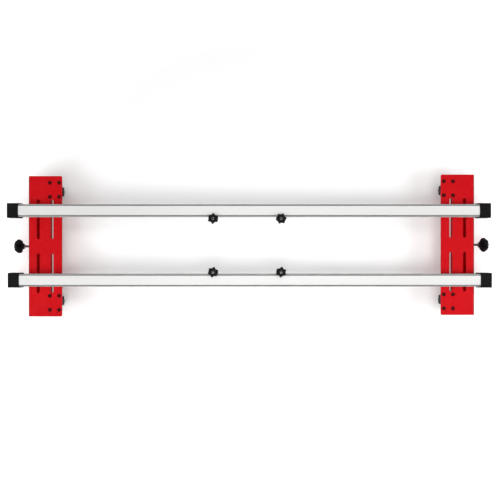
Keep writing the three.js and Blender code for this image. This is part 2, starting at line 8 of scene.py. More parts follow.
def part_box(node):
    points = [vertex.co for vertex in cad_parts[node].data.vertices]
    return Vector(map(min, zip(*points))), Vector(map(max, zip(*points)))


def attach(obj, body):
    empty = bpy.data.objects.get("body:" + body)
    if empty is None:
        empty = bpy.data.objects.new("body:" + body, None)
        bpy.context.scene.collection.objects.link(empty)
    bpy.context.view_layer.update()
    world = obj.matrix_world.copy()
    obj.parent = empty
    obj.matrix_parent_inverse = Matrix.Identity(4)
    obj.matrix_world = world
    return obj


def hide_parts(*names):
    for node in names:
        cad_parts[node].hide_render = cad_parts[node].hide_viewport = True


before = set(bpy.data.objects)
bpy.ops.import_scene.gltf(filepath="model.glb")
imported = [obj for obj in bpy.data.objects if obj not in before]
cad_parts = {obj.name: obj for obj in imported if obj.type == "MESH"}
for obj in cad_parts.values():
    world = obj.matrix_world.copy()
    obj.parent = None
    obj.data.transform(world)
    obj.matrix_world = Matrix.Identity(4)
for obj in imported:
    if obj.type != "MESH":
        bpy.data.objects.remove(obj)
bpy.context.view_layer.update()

# End brackets. Channels folded from 4 mm steel sheet with round bends, their upper flanges
# punched with slots for the rail bolts, countersunk screw holes and, at the front end, two
# blind pilot holes. They are powder coated red, and the darker red on their eased edges and
# outer upper bend is painted shade.
mm = 0.001
ends = {"left": 1, "right": -1}  # the way that each bracket opens along X
corners = {"rear": 1, "front": -1}
sheet = 4 * mm
bend_inside = 2.5 * mm
bend_outside = bend_inside + sheet
bracket_low, bracket_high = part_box("left_bracket")
flange_reach = bracket_high.x - bracket_low.x
bracket_half = (bracket_high.y - bracket_low.y) / 2
bracket_top = bracket_high.z
web_bottom = bracket_low.z
lower_flange_reach = 56 * mm
lower_flange_half = 159 * mm
web_end_height = 42 * mm
plan_corner = 4 * mm
slot_half_width = 4.5 * mm
slot_start, slot_end = 23.5 * mm, 149 * mm
slot_lines = (31.8 * mm, 76 * mm)
screw_lines = (69 * mm, 98.5 * mm)
screw_rows = (158.5 * mm, 203.5 * mm)
screw_head_radius = 6 * mm
screw_thread_radius = 3 * mm
screw_head_depth = screw_head_radius - screw_thread_radius
screw_clearance = 0.3 * mm
screw_hole_radius = screw_thread_radius + screw_clearance
screw_seat_radius = screw_head_radius + screw_clearance
pilot_lines = (70.6 * mm, 91.7 * mm)
pilot_radius = 1.75 * mm
pilot_depth = 2.5 * mm
pilot_from_end = 11 * mm
lock_height = 73 * mm
lock_hole_radius = 4.5 * mm
paint_edge = 0.6 * mm
bend_slant = 0.4  # a normal that leans further both outward and up is on the upper bend, which takes the painted shade
sharp_from = 55  # degrees between two faces that no longer shade as one
reach_past = 5 * mm
punch_low, punch_high = bracket_top - 2 * sheet, bracket_top + reach_past
bend_steps = 10
corner_steps = 8
hole_steps = 28
pilot_steps = 16
tiny = 1e-7
lay_along_x = Matrix.Rotation(math.pi / 2, 4, "Y")


def arc(middle, radius, start, end, steps):
    """Points on an arc, from one angle in degrees to another."""
    turns = [math.radians(start + (end - start) * i / steps) for i in range(steps + 1)]
    return [(middle[0] + radius * math.cos(t), middle[1] + radius * math.sin(t)) for t in turns]


def prism(outline, axis, low, high):
    """A closed solid with this outline across an axis."""
    order = {"x": (2, 0, 1), "y": (0, 2, 1), "z": (0, 1, 2)}[axis]
    corners_once = [p for i, p in enumerate(outline) if math.dist(p, outline[i - 1]) > tiny]
    solid = bmesh.new()
    rings = []
    for level in (low, high):
        places = [(a, b, level) for a, b in corners_once]
        rings.append([solid.verts.new([place[i] for i in order]) for place in places])
    solid.faces.new(rings[0])
    solid.faces.new(rings[1])
    for i in range(len(corners_once)):
        j = (i + 1) % len(corners_once)
        solid.faces.new((rings[0][i], rings[0][j], rings[1][j], rings[1][i]))
    bmesh.ops.recalc_face_normals(solid, faces=solid.faces[:])
    return solid


def turned(profile, sides, closed_loop=False):
    """A solid of revolution about Z from (radius, height) pairs."""
    solid = bmesh.new()
    rings = []
    for radius, height in profile:
        if radius < tiny:
            rings.append([solid.verts.new((0, 0, height))])
            continue
        circle = arc((0, 0), radius, 0, 360, sides)[:-1]
        rings.append([solid.verts.new((x, y, height)) for x, y in circle])
    following = rings[1:] + rings[:1] if closed_loop else rings[1:]
    for lower, upper in zip(rings, following):
        for i in range(sides):
            j = (i + 1) % sides
            around = [lower[i % len(lower)], lower[j % len(lower)],
                      upper[j % len(upper)], upper[i % len(upper)]]
            solid.faces.new(list(dict.fromkeys(around)))
    bmesh.ops.recalc_face_normals(solid, faces=solid.faces[:])
    return solid


def drill(radius, low, high, sides=hole_steps):
    """A plain rod about Z, which leaves a round hole where it is cut out."""
    return turned([(0, low), (radius, low), (radius, high), (0, high)], sides)


def moved(solid, place):
    """The solid itself, set in its place."""
    solid.transform(place)
    return solid


def together(solids):
    """Several solids as one mesh."""
    mesh = bpy.data.meshes.new("together")
    whole = bmesh.new()
    for solid in solids:
        part = bpy.data.meshes.new("part")
        solid.to_mesh(part)
        solid.free()
        whole.from_mesh(part)
        bpy.data.meshes.remove(part)
    whole.to_mesh(mesh)
    whole.free()
    return mesh


def worked(mesh, add_modifiers):
    """The mesh after the modifiers that the call adds."""
    blank = bpy.data.objects.new("blank", mesh)
    bpy.context.scene.collection.objects.link(blank)
    add_modifiers(blank.modifiers)
    bpy.context.view_layer.update()
    graph = bpy.context.evaluated_depsgraph_get()
    result = bpy.data.meshes.new_from_object(blank.evaluated_get(graph))
    bpy.data.objects.remove(blank)
    return result


def cut(mesh, tools):
    """The mesh with the tools' solids cut out of it."""
    cutter = bpy.data.objects.new("cutter", together(tools))
    bpy.context.scene.collection.objects.link(cutter)

    def punch(modifiers):
        modifier = modifiers.new("punch", "BOOLEAN")
        modifier.operation = "DIFFERENCE"
        modifier.solver = "EXACT"
        modifier.object = cutter

    result = worked(mesh, punch)
    bpy.data.objects.remove(cutter)
    result.materials.clear()
    return result


def edges_eased(mesh, width, segments=2, angle=35):
    """The mesh with its sharp edges rounded, the rounded faces in the second material."""
    mesh.materials.append(None)
    mesh.materials.append(None)

    def ease(modifiers):
        modifier = modifiers.new("edges", "BEVEL")
        modifier.width = width
        modifier.segments = segments
        modifier.limit_method = "ANGLE"
        modifier.angle_limit = math.radians(angle)
        modifier.use_clamp_overlap = False
        modifier.material = 1

    return worked(mesh, ease)


def at_end(mesh, end):
    """A copy of a mesh made from an outer face at x = 0, set at the left or the right end."""
    low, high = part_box(end + "_bracket")
    copy = mesh.copy()
    if ends[end] < 0:
        copy.transform(Matrix.Scale(-1, 4, (1, 0, 0)))
        copy.flip_normals()
    outer_face = low.x if ends[end] > 0 else high.x
    copy.transform(Matrix.Translation((outer_face, (low.y + high.y) / 2, 0)))
    return copy


def finished(name, mesh, *materials):
    """A piece with its materials, shaded flat on its flat faces and smooth round its edges."""
    finishes = [min(face.material_index, len(materials) - 1) for face in mesh.polygons]
    mesh.materials.clear()
    for material in materials:
        mesh.materials.append(material)
    mesh.polygons.foreach_set("material_index", finishes)
    mesh.shade_smooth()
    mesh.set_sharp_from_angle(angle=math.radians(sharp_from))

    def weigh(modifiers):
        modifier = modifiers.new("weigh", "WEIGHTED_NORMAL")
        modifier.keep_sharp = True

    result = worked(mesh, weigh)
    result.name = name
    piece = bpy.data.objects.new(name, result)
    bpy.context.scene.collection.objects.link(piece)
    return piece


patch_detail, grain_detail = 4, 3
noise_low, noise_high = 0.3, 0.7  # nearly all of a noise lies between these


def surface(name, colour, second_colour, patch_size, roughness, roughness_spread,
            grain, grain_depth, metallic=0.0, specular=0.5, stretch=(1, 1, 1)):
    """A finish with faint patches of a second colour, uneven gloss and a fine raised grain."""
    material = bpy.data.materials.new(name)
    material.use_nodes = True
    nodes, links = material.node_tree.nodes, material.node_tree.links
    shader = nodes["Principled BSDF"]
    shader.inputs["Metallic"].default_value = metallic
    shader.inputs["Specular IOR Level"].default_value = specular
    coordinates = nodes.new("ShaderNodeTexCoord")
    mapping = nodes.new("ShaderNodeMapping")
    mapping.inputs["Scale"].default_value = stretch
    links.new(coordinates.outputs["Object"], mapping.inputs["Vector"])

    patches = nodes.new("ShaderNodeTexNoise")
    patches.name = "patches"
    patches.inputs["Scale"].default_value = 1 / patch_size
    patches.inputs["Detail"].default_value = patch_detail
    links.new(mapping.outputs["Vector"], patches.inputs["Vector"])
    tint = nodes.new("ShaderNodeMix")
    tint.name = "tint"
    tint.data_type = "RGBA"
    tint.inputs["A"].default_value = (*colour, 1)
    tint.inputs["B"].default_value = (*second_colour, 1)
    links.new(patches.outputs["Fac"], tint.inputs["Factor"])
    links.new(tint.outputs["Result"], shader.inputs["Base Color"])

    gloss = nodes.new("ShaderNodeMapRange")
    gloss.name = "gloss"
    gloss.inputs["From Min"].default_value = noise_low
    gloss.inputs["From Max"].default_value = noise_high
    gloss.inputs["To Min"].default_value = roughness - roughness_spread
    gloss.inputs["To Max"].default_value = roughness + roughness_spread
    links.new(patches.outputs["Fac"], gloss.inputs["Value"])
    links.new(gloss.outputs["Result"], shader.inputs["Roughness"])

    raised_grain = nodes.new("ShaderNodeTexNoise")
    raised_grain.name = "grain"
    raised_grain.inputs["Scale"].default_value = 1 / grain
    raised_grain.inputs["Detail"].default_value = grain_detail
    links.new(mapping.outputs["Vector"], raised_grain.inputs["Vector"])
    bump = nodes.new("ShaderNodeBump")
    bump.name = "bump"
    bump.inputs["Distance"].default_value = grain_depth
    bump.inputs["Strength"].default_value = 1
    links.new(raised_grain.outputs["Fac"], bump.inputs["Height"])
    links.new(bump.outputs["Normal"], shader.inputs["Normal"])
    return material


powder_red = surface("powder_red", (0.55, 0.0025, 0.0065), (0.59, 0.0035, 0.0080), 60 * mm,
                     0.28, 0.04, 1.6 * mm, 0.02 * mm, specular=0.06)
# a darker red for the eased edges and the outer upper bend: painted shade
painted_shade_red = surface("painted_shade_red_edge", (0.22, 0.0020, 0.0040), (0.28, 0.0030, 0.0050), 12 * mm,
                   0.36, 0.06, 1.2 * mm, 0.03 * mm, specular=0.06)

bracket_profile = [(flange_reach, bracket_top - sheet), (flange_reach, bracket_top)]
upper_bend = (bend_outside, bracket_top - bend_outside)
lower_bend = (bend_outside, web_bottom + bend_outside)
bracket_profile += arc(upper_bend, bend_outside, 90, 180, bend_steps)
bracket_profile += arc(lower_bend, bend_outside, 180, 270, bend_steps)
bracket_profile += [(lower_flange_reach, web_bottom), (lower_flange_reach, web_bottom + sheet)]
bracket_profile += arc(lower_bend, bend_inside, 270, 180, bend_steps)
bracket_profile += arc(upper_bend, bend_inside, 180, 90, bend_steps)
punches = []
for side in corners.values():
    punches.append(prism([
        (side * lower_flange_half, web_bottom - reach_past),
        (side * (bracket_half + reach_past), web_bottom - reach_past),
        (side * (bracket_half + reach_past), bracket_top - web_end_height),
        (side * bracket_half, bracket_top - web_end_height),
        (side * lower_flange_half, web_bottom + bend_outside),
    ], "x", -reach_past, lower_flange_reach + reach_past))
    corner_x, corner_y = flange_reach - plan_corner, bracket_half - plan_corner
    round_off = arc((corner_x, corner_y), plan_corner, 90, 0, corner_steps)
    round_off += [(flange_reach + reach_past, corner_y),
                  (flange_reach + reach_past, bracket_half + reach_past),
                  (corner_x, bracket_half + reach_past)]
    plan_shapes = [round_off]
    for line in slot_lines:
        far = arc((line, slot_end - slot_half_width), slot_half_width, 0, 180, hole_steps // 2)
        near = arc((line, slot_start + slot_half_width), slot_half_width, 180, 360, hole_steps // 2)
        plan_shapes.append(far + near)
    for shape in plan_shapes:
        punches.append(prism([(a, side * b) for a, b in shape], "z", punch_low, punch_high))
    for line in screw_lines:
        for row in screw_rows:
            countersink = turned([
                (0, punch_low), (screw_hole_radius, punch_low),
                (screw_hole_radius, bracket_top - screw_head_depth),
                (screw_seat_radius, bracket_top), (screw_seat_radius, punch_high),
                (0, punch_high),
            ], hole_steps)
            punches.append(moved(countersink, Matrix.Translation((line, side * row, 0))))
for line in pilot_lines:
    pilot_hole = drill(pilot_radius, bracket_top - pilot_depth, punch_high, pilot_steps)
    punches.append(moved(pilot_hole, Matrix.Translation((line, pilot_from_end - bracket_half, 0))))
to_lock_hole = Matrix.Translation((0, 0, lock_height)) @ lay_along_x
punches.append(moved(drill(lock_hole_radius, -reach_past, sheet + reach_past), to_lock_hole))
folded = together([prism(bracket_profile, "y", -bracket_half, bracket_half)])
bracket_mesh = edges_eased(cut(folded, punches), paint_edge)
# the outer upper bend takes the darker red: painted shade along the bend
for face in bracket_mesh.polygons:
    if face.normal.x < -bend_slant and face.normal.z > bend_slant:
        face.material_index = 1
for end in ends:
    bracket = finished(end + "_bracket_channel", at_end(bracket_mesh, end), powder_red, painted_shade_red)
    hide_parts(end + "_bracket")
    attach(bracket, end + "_end")

# Weld nuts. An M8 hexagon nut sits on the inner side of each web, held by a weld fillet all
# round it, and is coated with the bracket. The lock screw runs in its thread.
nut_flats = 13 * mm
nut_height = 8 * mm
nut_top = sheet + nut_height
nut_sunk = 0.2 * mm
nut_chamfer = 0.6 * mm
nut_mouth_depth, nut_mouth_flare = 0.7 * mm, 0.9 * mm
just_past = 0.1 * mm  # how far a cutting tool stands out
lock_thread_radius = 4 * mm
thread_clearance = 0.3 * mm
fillet = 1.6 * mm
weld_steps = 72
weld_overlap = 0.3 * mm
weld_ripple, weld_ripples = 0.14 * mm, 24
weld_bend_out, weld_bend_up = 0.75, 0.45  # where the weld's face bends, in fillets


def hexagon(flats, low, high, chamfer):
    """A hexagon with its corners turned down at both ends, as a nut or a bolt head has."""
    outline = arc((0, 0), flats / math.sqrt(3), 0, 360, 6)[:-1]
    solid = prism(outline, "z", low, high)
    level_edges = [e for e in solid.edges if abs(e.verts[0].co.z - e.verts[1].co.z) < tiny]
    bmesh.ops.bevel(solid, geom=level_edges, offset=chamfer, segments=2, profile=0.5,
                    affect="EDGES", clamp_overlap=True)
    return solid


def solid_of(mesh):
    """A mesh as a solid again, to be moved or joined with others."""
    solid = bmesh.new()
    solid.from_mesh(mesh)
    return solid


nut_blank = together([hexagon(nut_flats, sheet - nut_sunk, nut_top, nut_chamfer)])
nut_mesh = cut(nut_blank, [turned([
    (0, -reach_past), (lock_thread_radius + thread_clearance, -reach_past),
    (lock_thread_radius + thread_clearance, nut_top - nut_mouth_depth),
    (lock_thread_radius + nut_mouth_flare, nut_top + just_past), (0, nut_top + just_past),
], hole_steps)])
weld = bmesh.new()
weld_rings = []
for i in range(weld_steps):
    angle = 2 * math.pi * i / weld_steps
    turn = angle + math.pi / 6
    inside = nut_flats / 2 / math.cos(turn % (math.pi / 3) - math.pi / 6) - weld_overlap
    ripple = weld_ripple * math.sin(weld_ripples * angle)
    section = [(inside, sheet - nut_sunk), (inside + fillet + ripple, sheet - nut_sunk),
               (inside + weld_bend_out * fillet + ripple, sheet + weld_bend_up * fillet + ripple),
               (inside, sheet + fillet + ripple)]
    weld_rings.append([weld.verts.new((r * math.cos(turn), r * math.sin(turn), h))
                       for r, h in section])
for i in range(weld_steps):
    this, following = weld_rings[i], weld_rings[(i + 1) % weld_steps]
    for a in range(4):
        b = (a + 1) % 4
        weld.faces.new((this[a], following[a], following[b], this[b]))
bmesh.ops.recalc_face_normals(weld, faces=weld.faces[:])
weld_nut_mesh = together([moved(solid_of(nut_mesh), to_lock_hole), moved(weld, to_lock_hole)])
for end in ends:
    weld_nut = finished(end + "_weld_nut", at_end(weld_nut_mesh, end), powder_red)
    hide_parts(end + "_bracket")
    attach(weld_nut, end + "_end")

# Wheel legs. Each is a steel angle under the bracket's end, its leaf narrowing to a round tip
# and slotted so that the axle can be set higher or lower. It is coated red like the bracket,
# and its eased edges take the same darker red, which is painted shade.
leg_low, leg_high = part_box("rear_left_leg")
leg_middle = 181 * mm
leg_half = (leg_high.y - leg_low.y) / 2
leg_gap = 0.3 * mm
leg_top = bracket_top - sheet - leg_gap
leg_bottom = leg_low.z
leg_leaf = 57.25 * mm
leg_reach = 107.25 * mm
leg_tip_radius = 17 * mm
leg_taper_top = 78 * mm
axle_slot_half = 4.3 * mm
axle_low, axle_high = 25 * mm, 55 * mm
tip_steps = 24

leg_bend = leg_leaf + bend_outside
leg_profile = [(leg_reach, leg_top - sheet), (leg_reach, leg_top)]
leg_profile += arc((leg_bend, leg_top - bend_outside), bend_outside, 90, 180, bend_steps)
leg_profile += [(leg_leaf, leg_bottom), (leg_leaf + sheet, leg_bottom)]
leg_profile += arc((leg_bend, leg_top - bend_outside), bend_inside, 180, 90, bend_steps)
trim = [(leg_half + reach_past, leg_taper_top), (leg_half, leg_taper_top)]
trim += arc((0, leg_bottom + leg_tip_radius), leg_tip_radius, 0, -180, tip_steps)
trim += [(-leg_half, leg_taper_top), (-leg_half - reach_past, leg_taper_top),
         (-leg_half - reach_past, leg_bottom - reach_past),
         (leg_half + reach_past, leg_bottom - reach_past)]
axle_slot = arc((0, axle_high), axle_slot_half, 0, 180, hole_steps // 2)
axle_slot += arc((0, axle_low), axle_slot_half, 180, 360, hole_steps // 2)
leg_punches = [prism(outline, "x", leg_leaf - reach_past, leg_leaf + 2 * sheet)
               for outline in (trim, axle_slot)]
for line in screw_lines:
    for row in screw_rows:
        screw_hole = drill(screw_hole_radius, leg_top - 2 * sheet, leg_top + reach_past)
        leg_punches.append(moved(screw_hole, Matrix.Translation((line, row - leg_middle, 0))))
leg_blank = together([prism(leg_profile, "y", -leg_half, leg_half)])
leg_mesh = edges_eased(cut(leg_blank, leg_punches), paint_edge)
for end in ends:
    for corner, side in corners.items():
        one_leg = leg_mesh.copy()
        one_leg.transform(Matrix.Translation((0, side * leg_middle, 0)))
        leg = finished(f"{corner}_{end}_leg_plate", at_end(one_leg, end), powder_red, painted_shade_red)
        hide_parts(f"{corner}_{end}_leg")
        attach(leg, end + "_end")

# Leg screws. Four M6 countersunk screws with hexagon sockets, blackened and dusted with the
# red coat, hold each leg up under its bracket, each with a zinc plated nut below.
socket_radius = 2.3 * mm
socket_depth = 2.6 * mm
screw_neck_depth = 5 * mm
screw_cone_depth = 3.1 * mm
screw_rim = 0.25 * mm
screw_head_edge = 0.12 * mm
hairline = 0.02 * mm
screw_pitch = 1 * mm
screw_thread_top = bracket_top - 3.2 * mm
screw_nut_flats = 10 * mm
screw_nut_height = 5 * mm
screw_nut_chamfer = 0.45 * mm
screw_nut_bottom = leg_top - sheet - screw_nut_height
screw_past_nut = 1.7 * mm
screw_end = screw_nut_bottom - screw_past_nut
nut_play = 0.1 * mm
thread_depth_share = 0.61
thread_rings = 6  # in one turn of the thread
flank_steepness, root_width = 2.4, 0.1
screw_seed = 7


def threaded(radius, pitch, low, high, sides, low_taper=1.0, high_taper=0.0):
    """A rod about Z with a real helical thread, pointed a little where a taper is given."""
    solid = bmesh.new()
    depth = thread_depth_share * pitch
    count = max(int(round((high - low) / pitch * thread_rings)), 2)
    rings = []
    for i in range(count + 1):
        height = low + (high - low) * i / count
        from_low = (height - low) / pitch
        from_high = (high - height) / pitch
        most = radius - depth * max(0, low_taper - from_low, high_taper - from_high)
        ring = []
        for k in range(sides):
            phase = (height / pitch - k / sides) % 1
            ridge = min(1, max(0, flank_steepness * (0.5 - abs(phase - 0.5)) - root_width))
            reach = min(radius - depth * (1 - ridge), most)
            angle = 2 * math.pi * k / sides
            ring.append(solid.verts.new((reach * math.cos(angle), reach * math.sin(angle), height)))
        rings.append(ring)
    for lower, upper in zip(rings, rings[1:]):
        for k in range(sides):
            m = (k + 1) % sides
            solid.faces.new((lower[k], lower[m], upper[m], upper[k]))
    solid.faces.new(list(reversed(rings[0])))
    solid.faces.new(rings[-1])
    return solid


def rows_of_fixings():
    """A tree that sets copies of the object's own fixing in rows, each turned its own way."""
    tree = bpy.data.node_groups.new("rows_of_fixings", "GeometryNodeTree")
    sockets = tree.interface
    sockets.new_socket("Geometry", in_out="INPUT", socket_type="NodeSocketGeometry")
    for label, kind, value in (
        ("Pitch Along", "NodeSocketFloat", 0.03), ("Pitch Across", "NodeSocketFloat", 0.04),
        ("Count Along", "NodeSocketInt", 2), ("Count Across", "NodeSocketInt", 2),
        ("Middle", "NodeSocketVector", (0, 0, 0)), ("Most Turn", "NodeSocketVector", (0, 0, 0)),
        ("Seed", "NodeSocketInt", 1), ("Finish", "NodeSocketMaterial", None),
    ):
        socket = sockets.new_socket(label, in_out="INPUT", socket_type=kind)
        if value is not None:
            socket.default_value = value
    sockets.new_socket("Geometry", in_out="OUTPUT", socket_type="NodeSocketGeometry")
    nodes, links = tree.nodes, tree.links
    given, result = nodes.new("NodeGroupInput"), nodes.new("NodeGroupOutput")
    size_along, size_across = nodes.new("ShaderNodeMath"), nodes.new("ShaderNodeMath")
    less_along, less_across = nodes.new("ShaderNodeMath"), nodes.new("ShaderNodeMath")
    for less, size, label, pitch in ((less_along, size_along, "Count Along", "Pitch Along"),
                                     (less_across, size_across, "Count Across", "Pitch Across")):
        less.operation, size.operation = "SUBTRACT", "MULTIPLY"
        less.inputs[1].default_value = 1
        links.new(given.outputs[label], less.inputs[0])
        links.new(less.outputs[0], size.inputs[0])
        links.new(given.outputs[pitch], size.inputs[1])
    grid = nodes.new("GeometryNodeMeshGrid")
    links.new(size_along.outputs[0], grid.inputs["Size X"])
    links.new(size_across.outputs[0], grid.inputs["Size Y"])
    links.new(given.outputs["Count Along"], grid.inputs["Vertices X"])
    links.new(given.outputs["Count Across"], grid.inputs["Vertices Y"])
    turn = nodes.new("FunctionNodeRandomValue")
    turn.data_type = "FLOAT_VECTOR"
    turn.inputs["Min"].default_value = (0, 0, 0)
    links.new(given.outputs["Most Turn"], turn.inputs["Max"])
    links.new(given.outputs["Seed"], turn.inputs["Seed"])
    copies = nodes.new("GeometryNodeInstanceOnPoints")
    links.new(grid.outputs["Mesh"], copies.inputs["Points"])
    links.new(given.outputs["Geometry"], copies.inputs["Instance"])
    links.new(turn.outputs["Value"], copies.inputs["Rotation"])
    to_middle = nodes.new("GeometryNodeTransform")
    links.new(copies.outputs["Instances"], to_middle.inputs["Geometry"])
    links.new(given.outputs["Middle"], to_middle.inputs["Translation"])
    plain = nodes.new("GeometryNodeRealizeInstances")
    links.new(to_middle.outputs["Geometry"], plain.inputs["Geometry"])
    coated = nodes.new("GeometryNodeSetMaterial")
    links.new(plain.outputs["Geometry"], coated.inputs["Geometry"])
    links.new(given.outputs["Finish"], coated.inputs["Material"])
    links.new(coated.outputs["Geometry"], result.inputs["Geometry"])
    return tree


def through_tree(mesh, tree, **values):
    """The mesh that the tree makes of this one, with its named inputs set by identifier."""
    inputs = [item for item in tree.interface.items_tree if item.in_out == "INPUT"]
    names = {item.name: item.identifier for item in inputs}

    def grow(modifiers):
        modifier = modifiers.new("grow", "NODES")
        modifier.node_group = tree
        for label, value in values.items():
            modifier[names[label.replace("_", " ")]] = value

    return worked(mesh, grow)


black_oxide = surface("black_oxide_dusted_red", (0.050, 0.0030, 0.0032), (0.075, 0.0040, 0.0042),
                      5 * mm, 0.45, 0.08, 0.6 * mm, 0.008 * mm, specular=0.04)
zinc = surface("zinc_plate", (0.50, 0.51, 0.53), (0.62, 0.61, 0.57), 4 * mm,
               0.34, 0.1, 0.5 * mm, 0.006 * mm, metallic=1.0)
fixings_in_rows = rows_of_fixings()
screw_head = turned([
    (0, bracket_top - screw_neck_depth), (screw_thread_radius, bracket_top - screw_neck_depth),
    (screw_thread_radius, bracket_top - screw_cone_depth),
    (screw_head_radius - screw_rim, bracket_top - screw_rim),
    (screw_head_radius - 0.3 * mm, bracket_top - 0.08 * mm),
    (screw_head_radius - 0.55 * mm, bracket_top - hairline), (0, bracket_top - hairline),
], sides=40)
socket_outline = arc((0, 0), socket_radius, 0, 360, 6)[:-1]
socket = prism(socket_outline, "z", bracket_top - socket_depth, bracket_top + mm)
screw_head_mesh = cut(together([screw_head]), [socket])
screw_head_mesh = edges_eased(screw_head_mesh, screw_head_edge, segments=1, angle=50)
screw_rod = threaded(screw_thread_radius, screw_pitch, screw_end, screw_thread_top, sides=18)
screw_mesh = together([solid_of(screw_head_mesh), screw_rod])
screw_nut_blank = hexagon(screw_nut_flats, screw_nut_bottom, leg_top - sheet - hairline,
                          screw_nut_chamfer)
screw_nut_bore = drill(screw_thread_radius + nut_play, screw_nut_bottom - mm, leg_top, sides=24)
screw_nut_mesh = cut(together([screw_nut_blank]), [screw_nut_bore])
screw_pitch_along = screw_lines[1] - screw_lines[0]
screw_pitch_across = screw_rows[1] - screw_rows[0]
for end in ends:
    for corner, side in corners.items():
        middle = (sum(screw_lines) / 2, side * sum(screw_rows) / 2, 0)
        layout = dict(Pitch_Along=screw_pitch_along, Pitch_Across=screw_pitch_across,
                      Middle=middle, Most_Turn=(0, 0, math.tau),
                      Seed=screw_seed + 2 * side + ends[end])
        screws = through_tree(screw_mesh.copy(), fixings_in_rows, Finish=black_oxide, **layout)
        nuts = through_tree(screw_nut_mesh.copy(), fixings_in_rows, Finish=zinc, **layout)
        for name, mesh, finish, slot in (("screws", screws, black_oxide, "black_oxide"),
                                         ("screw_nuts", nuts, zinc, "zinc_steel")):
            fixing = finished(f"{corner}_{end}_leg_{name}", at_end(mesh, end), finish)
            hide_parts(f"{corner}_{end}_leg")
            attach(fixing, end + "_end")

# Rails. One extruded aluminium profile with a closed box on its outer side, an open channel
# towards the middle with a lip along its top, and a T-slot below. It is clear anodised, and
# the die leaves fine lines along its length. The darker strips along its top edges, beside
# the grooves, are painted shade.
rail_low, rail_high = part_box("rear_rail")
rail_size = rail_high.z - rail_low.z
rail_half = rail_size / 2
rail_reach = (rail_high.x - rail_low.x) / 2
rail_bottom = rail_low.z
rail_wall = 3 * mm
rail_corner = 2 * mm
rail_corner_steps = 6
track_height = 17.5 * mm
track_floor = rail_size - rail_wall - track_height
lip = 2.5 * mm
slot_mouth_half = 4.4 * mm
chamber_half = 6.8 * mm
cell_inner, cell_outer = 9 * mm, rail_half - rail_wall
cell_top = track_floor - rail_wall
edge_strip = 4.1 * mm
edge_line_place = rail_half - edge_strip
edge_line_half = 1.2 * mm
edge_line_depth = 2 * mm
rail_edge = 0.2 * mm
facing_up = 0.25


def rail_section():
    """Section in (inward, up) from the middle of the rail's underside."""
    roof = rail_size - rail_wall
    points = [(slot_mouth_half, 0)]
    points += arc((rail_half - rail_corner, rail_corner), rail_corner, -90, 0, rail_corner_steps)
    points += [(rail_half, track_floor), (-cell_outer, track_floor), (-cell_outer, roof),
               (rail_half - lip, roof), (rail_half - lip, roof - lip), (rail_half, roof - lip)]
    points += arc((rail_half - rail_corner, rail_size - rail_corner), rail_corner, 0, 90,
                  rail_corner_steps)
    for line in (edge_line_place, -edge_line_place):
        points += [(line + edge_line_half, rail_size), (line, rail_size - edge_line_depth),
                   (line - edge_line_half, rail_size)]
    points += arc((rail_corner - rail_half, rail_size - rail_corner), rail_corner, 90, 180,
                  rail_corner_steps)
    points += arc((rail_corner - rail_half, rail_corner), rail_corner, 180, 270, rail_corner_steps)
    points += [(-slot_mouth_half, 0), (-slot_mouth_half, rail_wall), (-chamber_half, rail_wall),
               (-chamber_half, track_floor - rail_wall), (chamber_half, track_floor - rail_wall),
               (chamber_half, rail_wall), (slot_mouth_half, rail_wall)]
    return points


anodised = surface("anodised_rail", (0.445, 0.445, 0.44), (0.475, 0.475, 0.47), 50 * mm,
                   0.6, 0.04, 0.9 * mm, 0.006 * mm, metallic=1.0, stretch=(0.01, 1, 1))
# darker metal for the strips along the top edges: painted shade on the rounded corners
painted_shade_rail_edge = surface("painted_shade_rail_strip", (0.26, 0.26, 0.26), (0.29, 0.29, 0.29), 40 * mm,
                    0.6, 0.05, 0.9 * mm, 0.01 * mm, metallic=1.0, stretch=(0.02, 1, 1))
cells = []
for side in corners.values():
    cells.append(prism([
        (side * cell_inner, rail_wall), (side * cell_outer, rail_wall),
        (side * cell_outer, cell_top), (side * cell_inner, cell_top),
    ], "x", -rail_reach - reach_past, rail_reach + reach_past))
extrusion = together([prism(rail_section(), "x", -rail_reach, rail_reach)])
rail_mesh = edges_eased(cut(extrusion, cells), rail_edge)
# faces beside the grooves near the top that face upward take the painted shade
for face in rail_mesh.polygons:
    beside_line = abs(face.center.y) > edge_line_place - edge_line_half - rail_edge
    near_top = face.center.z > rail_size - edge_line_depth - just_past
    shade_painted = beside_line and near_top and face.normal.z > facing_up
    face.material_index = 1 if shade_painted else 0
for corner, side in corners.items():
    low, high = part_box(corner + "_rail")
    place = Matrix.Translation(((low.x + high.x) / 2, (low.y + high.y) / 2, low.z))
    one_rail = rail_mesh.copy()
    one_rail.transform(place @ Matrix.Rotation(math.pi if side > 0 else 0, 4, "Z"))
    rail = finished(corner + "_rail_profile", one_rail, anodised, painted_shade_rail_edge)
    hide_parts(corner + "_rail")
    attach(rail, corner + "_rail_unit")

# End caps. Black moulded boxes pushed over the rails' ends, with round edges, a flush outer
# face, and mouths that run out in a wing at each side and are hollowed above and below.
cap_low, cap_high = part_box("rear_left_cap")
cap_half = (cap_high.y - cap_low.y) / 2
cap_beyond = 12 * mm
cap_play = 0.3 * mm
cap_inside_half = rail_half + cap_play
cap_lid_reach = 33 * mm
cap_corner_reach = 35.5 * mm
cap_wing_reach = 43 * mm
cap_past = cap_wing_reach + reach_past
cap_corner = 3 * mm
cap_corner_steps = 6
cap_curve_steps = 20
cap_edge = 0.7 * mm
sliver = 0.01 * mm


def rounded_box(half_wide, half_high, corner, steps):
    """The outline of a rectangle with round corners."""
    points = []
    for turn, (a, b) in zip((0, 90, 180, 270), ((1, 1), (-1, 1), (-1, -1), (1, -1))):
        middle = (a * (half_wide - corner), b * (half_high - corner))
        points += arc(middle, corner, turn, turn + 90, steps)
    return points


def bowed(start, control, end, steps):
    """Points on a curve from start to end that bows towards the control point."""
    points = []
    for i in range(steps + 1):
        t = i / steps
        a, b, c = (1 - t) ** 2, 2 * t * (1 - t), t * t
        points.append(tuple(a * start[k] + b * control[k] + c * end[k] for k in (0, 1)))
    return points


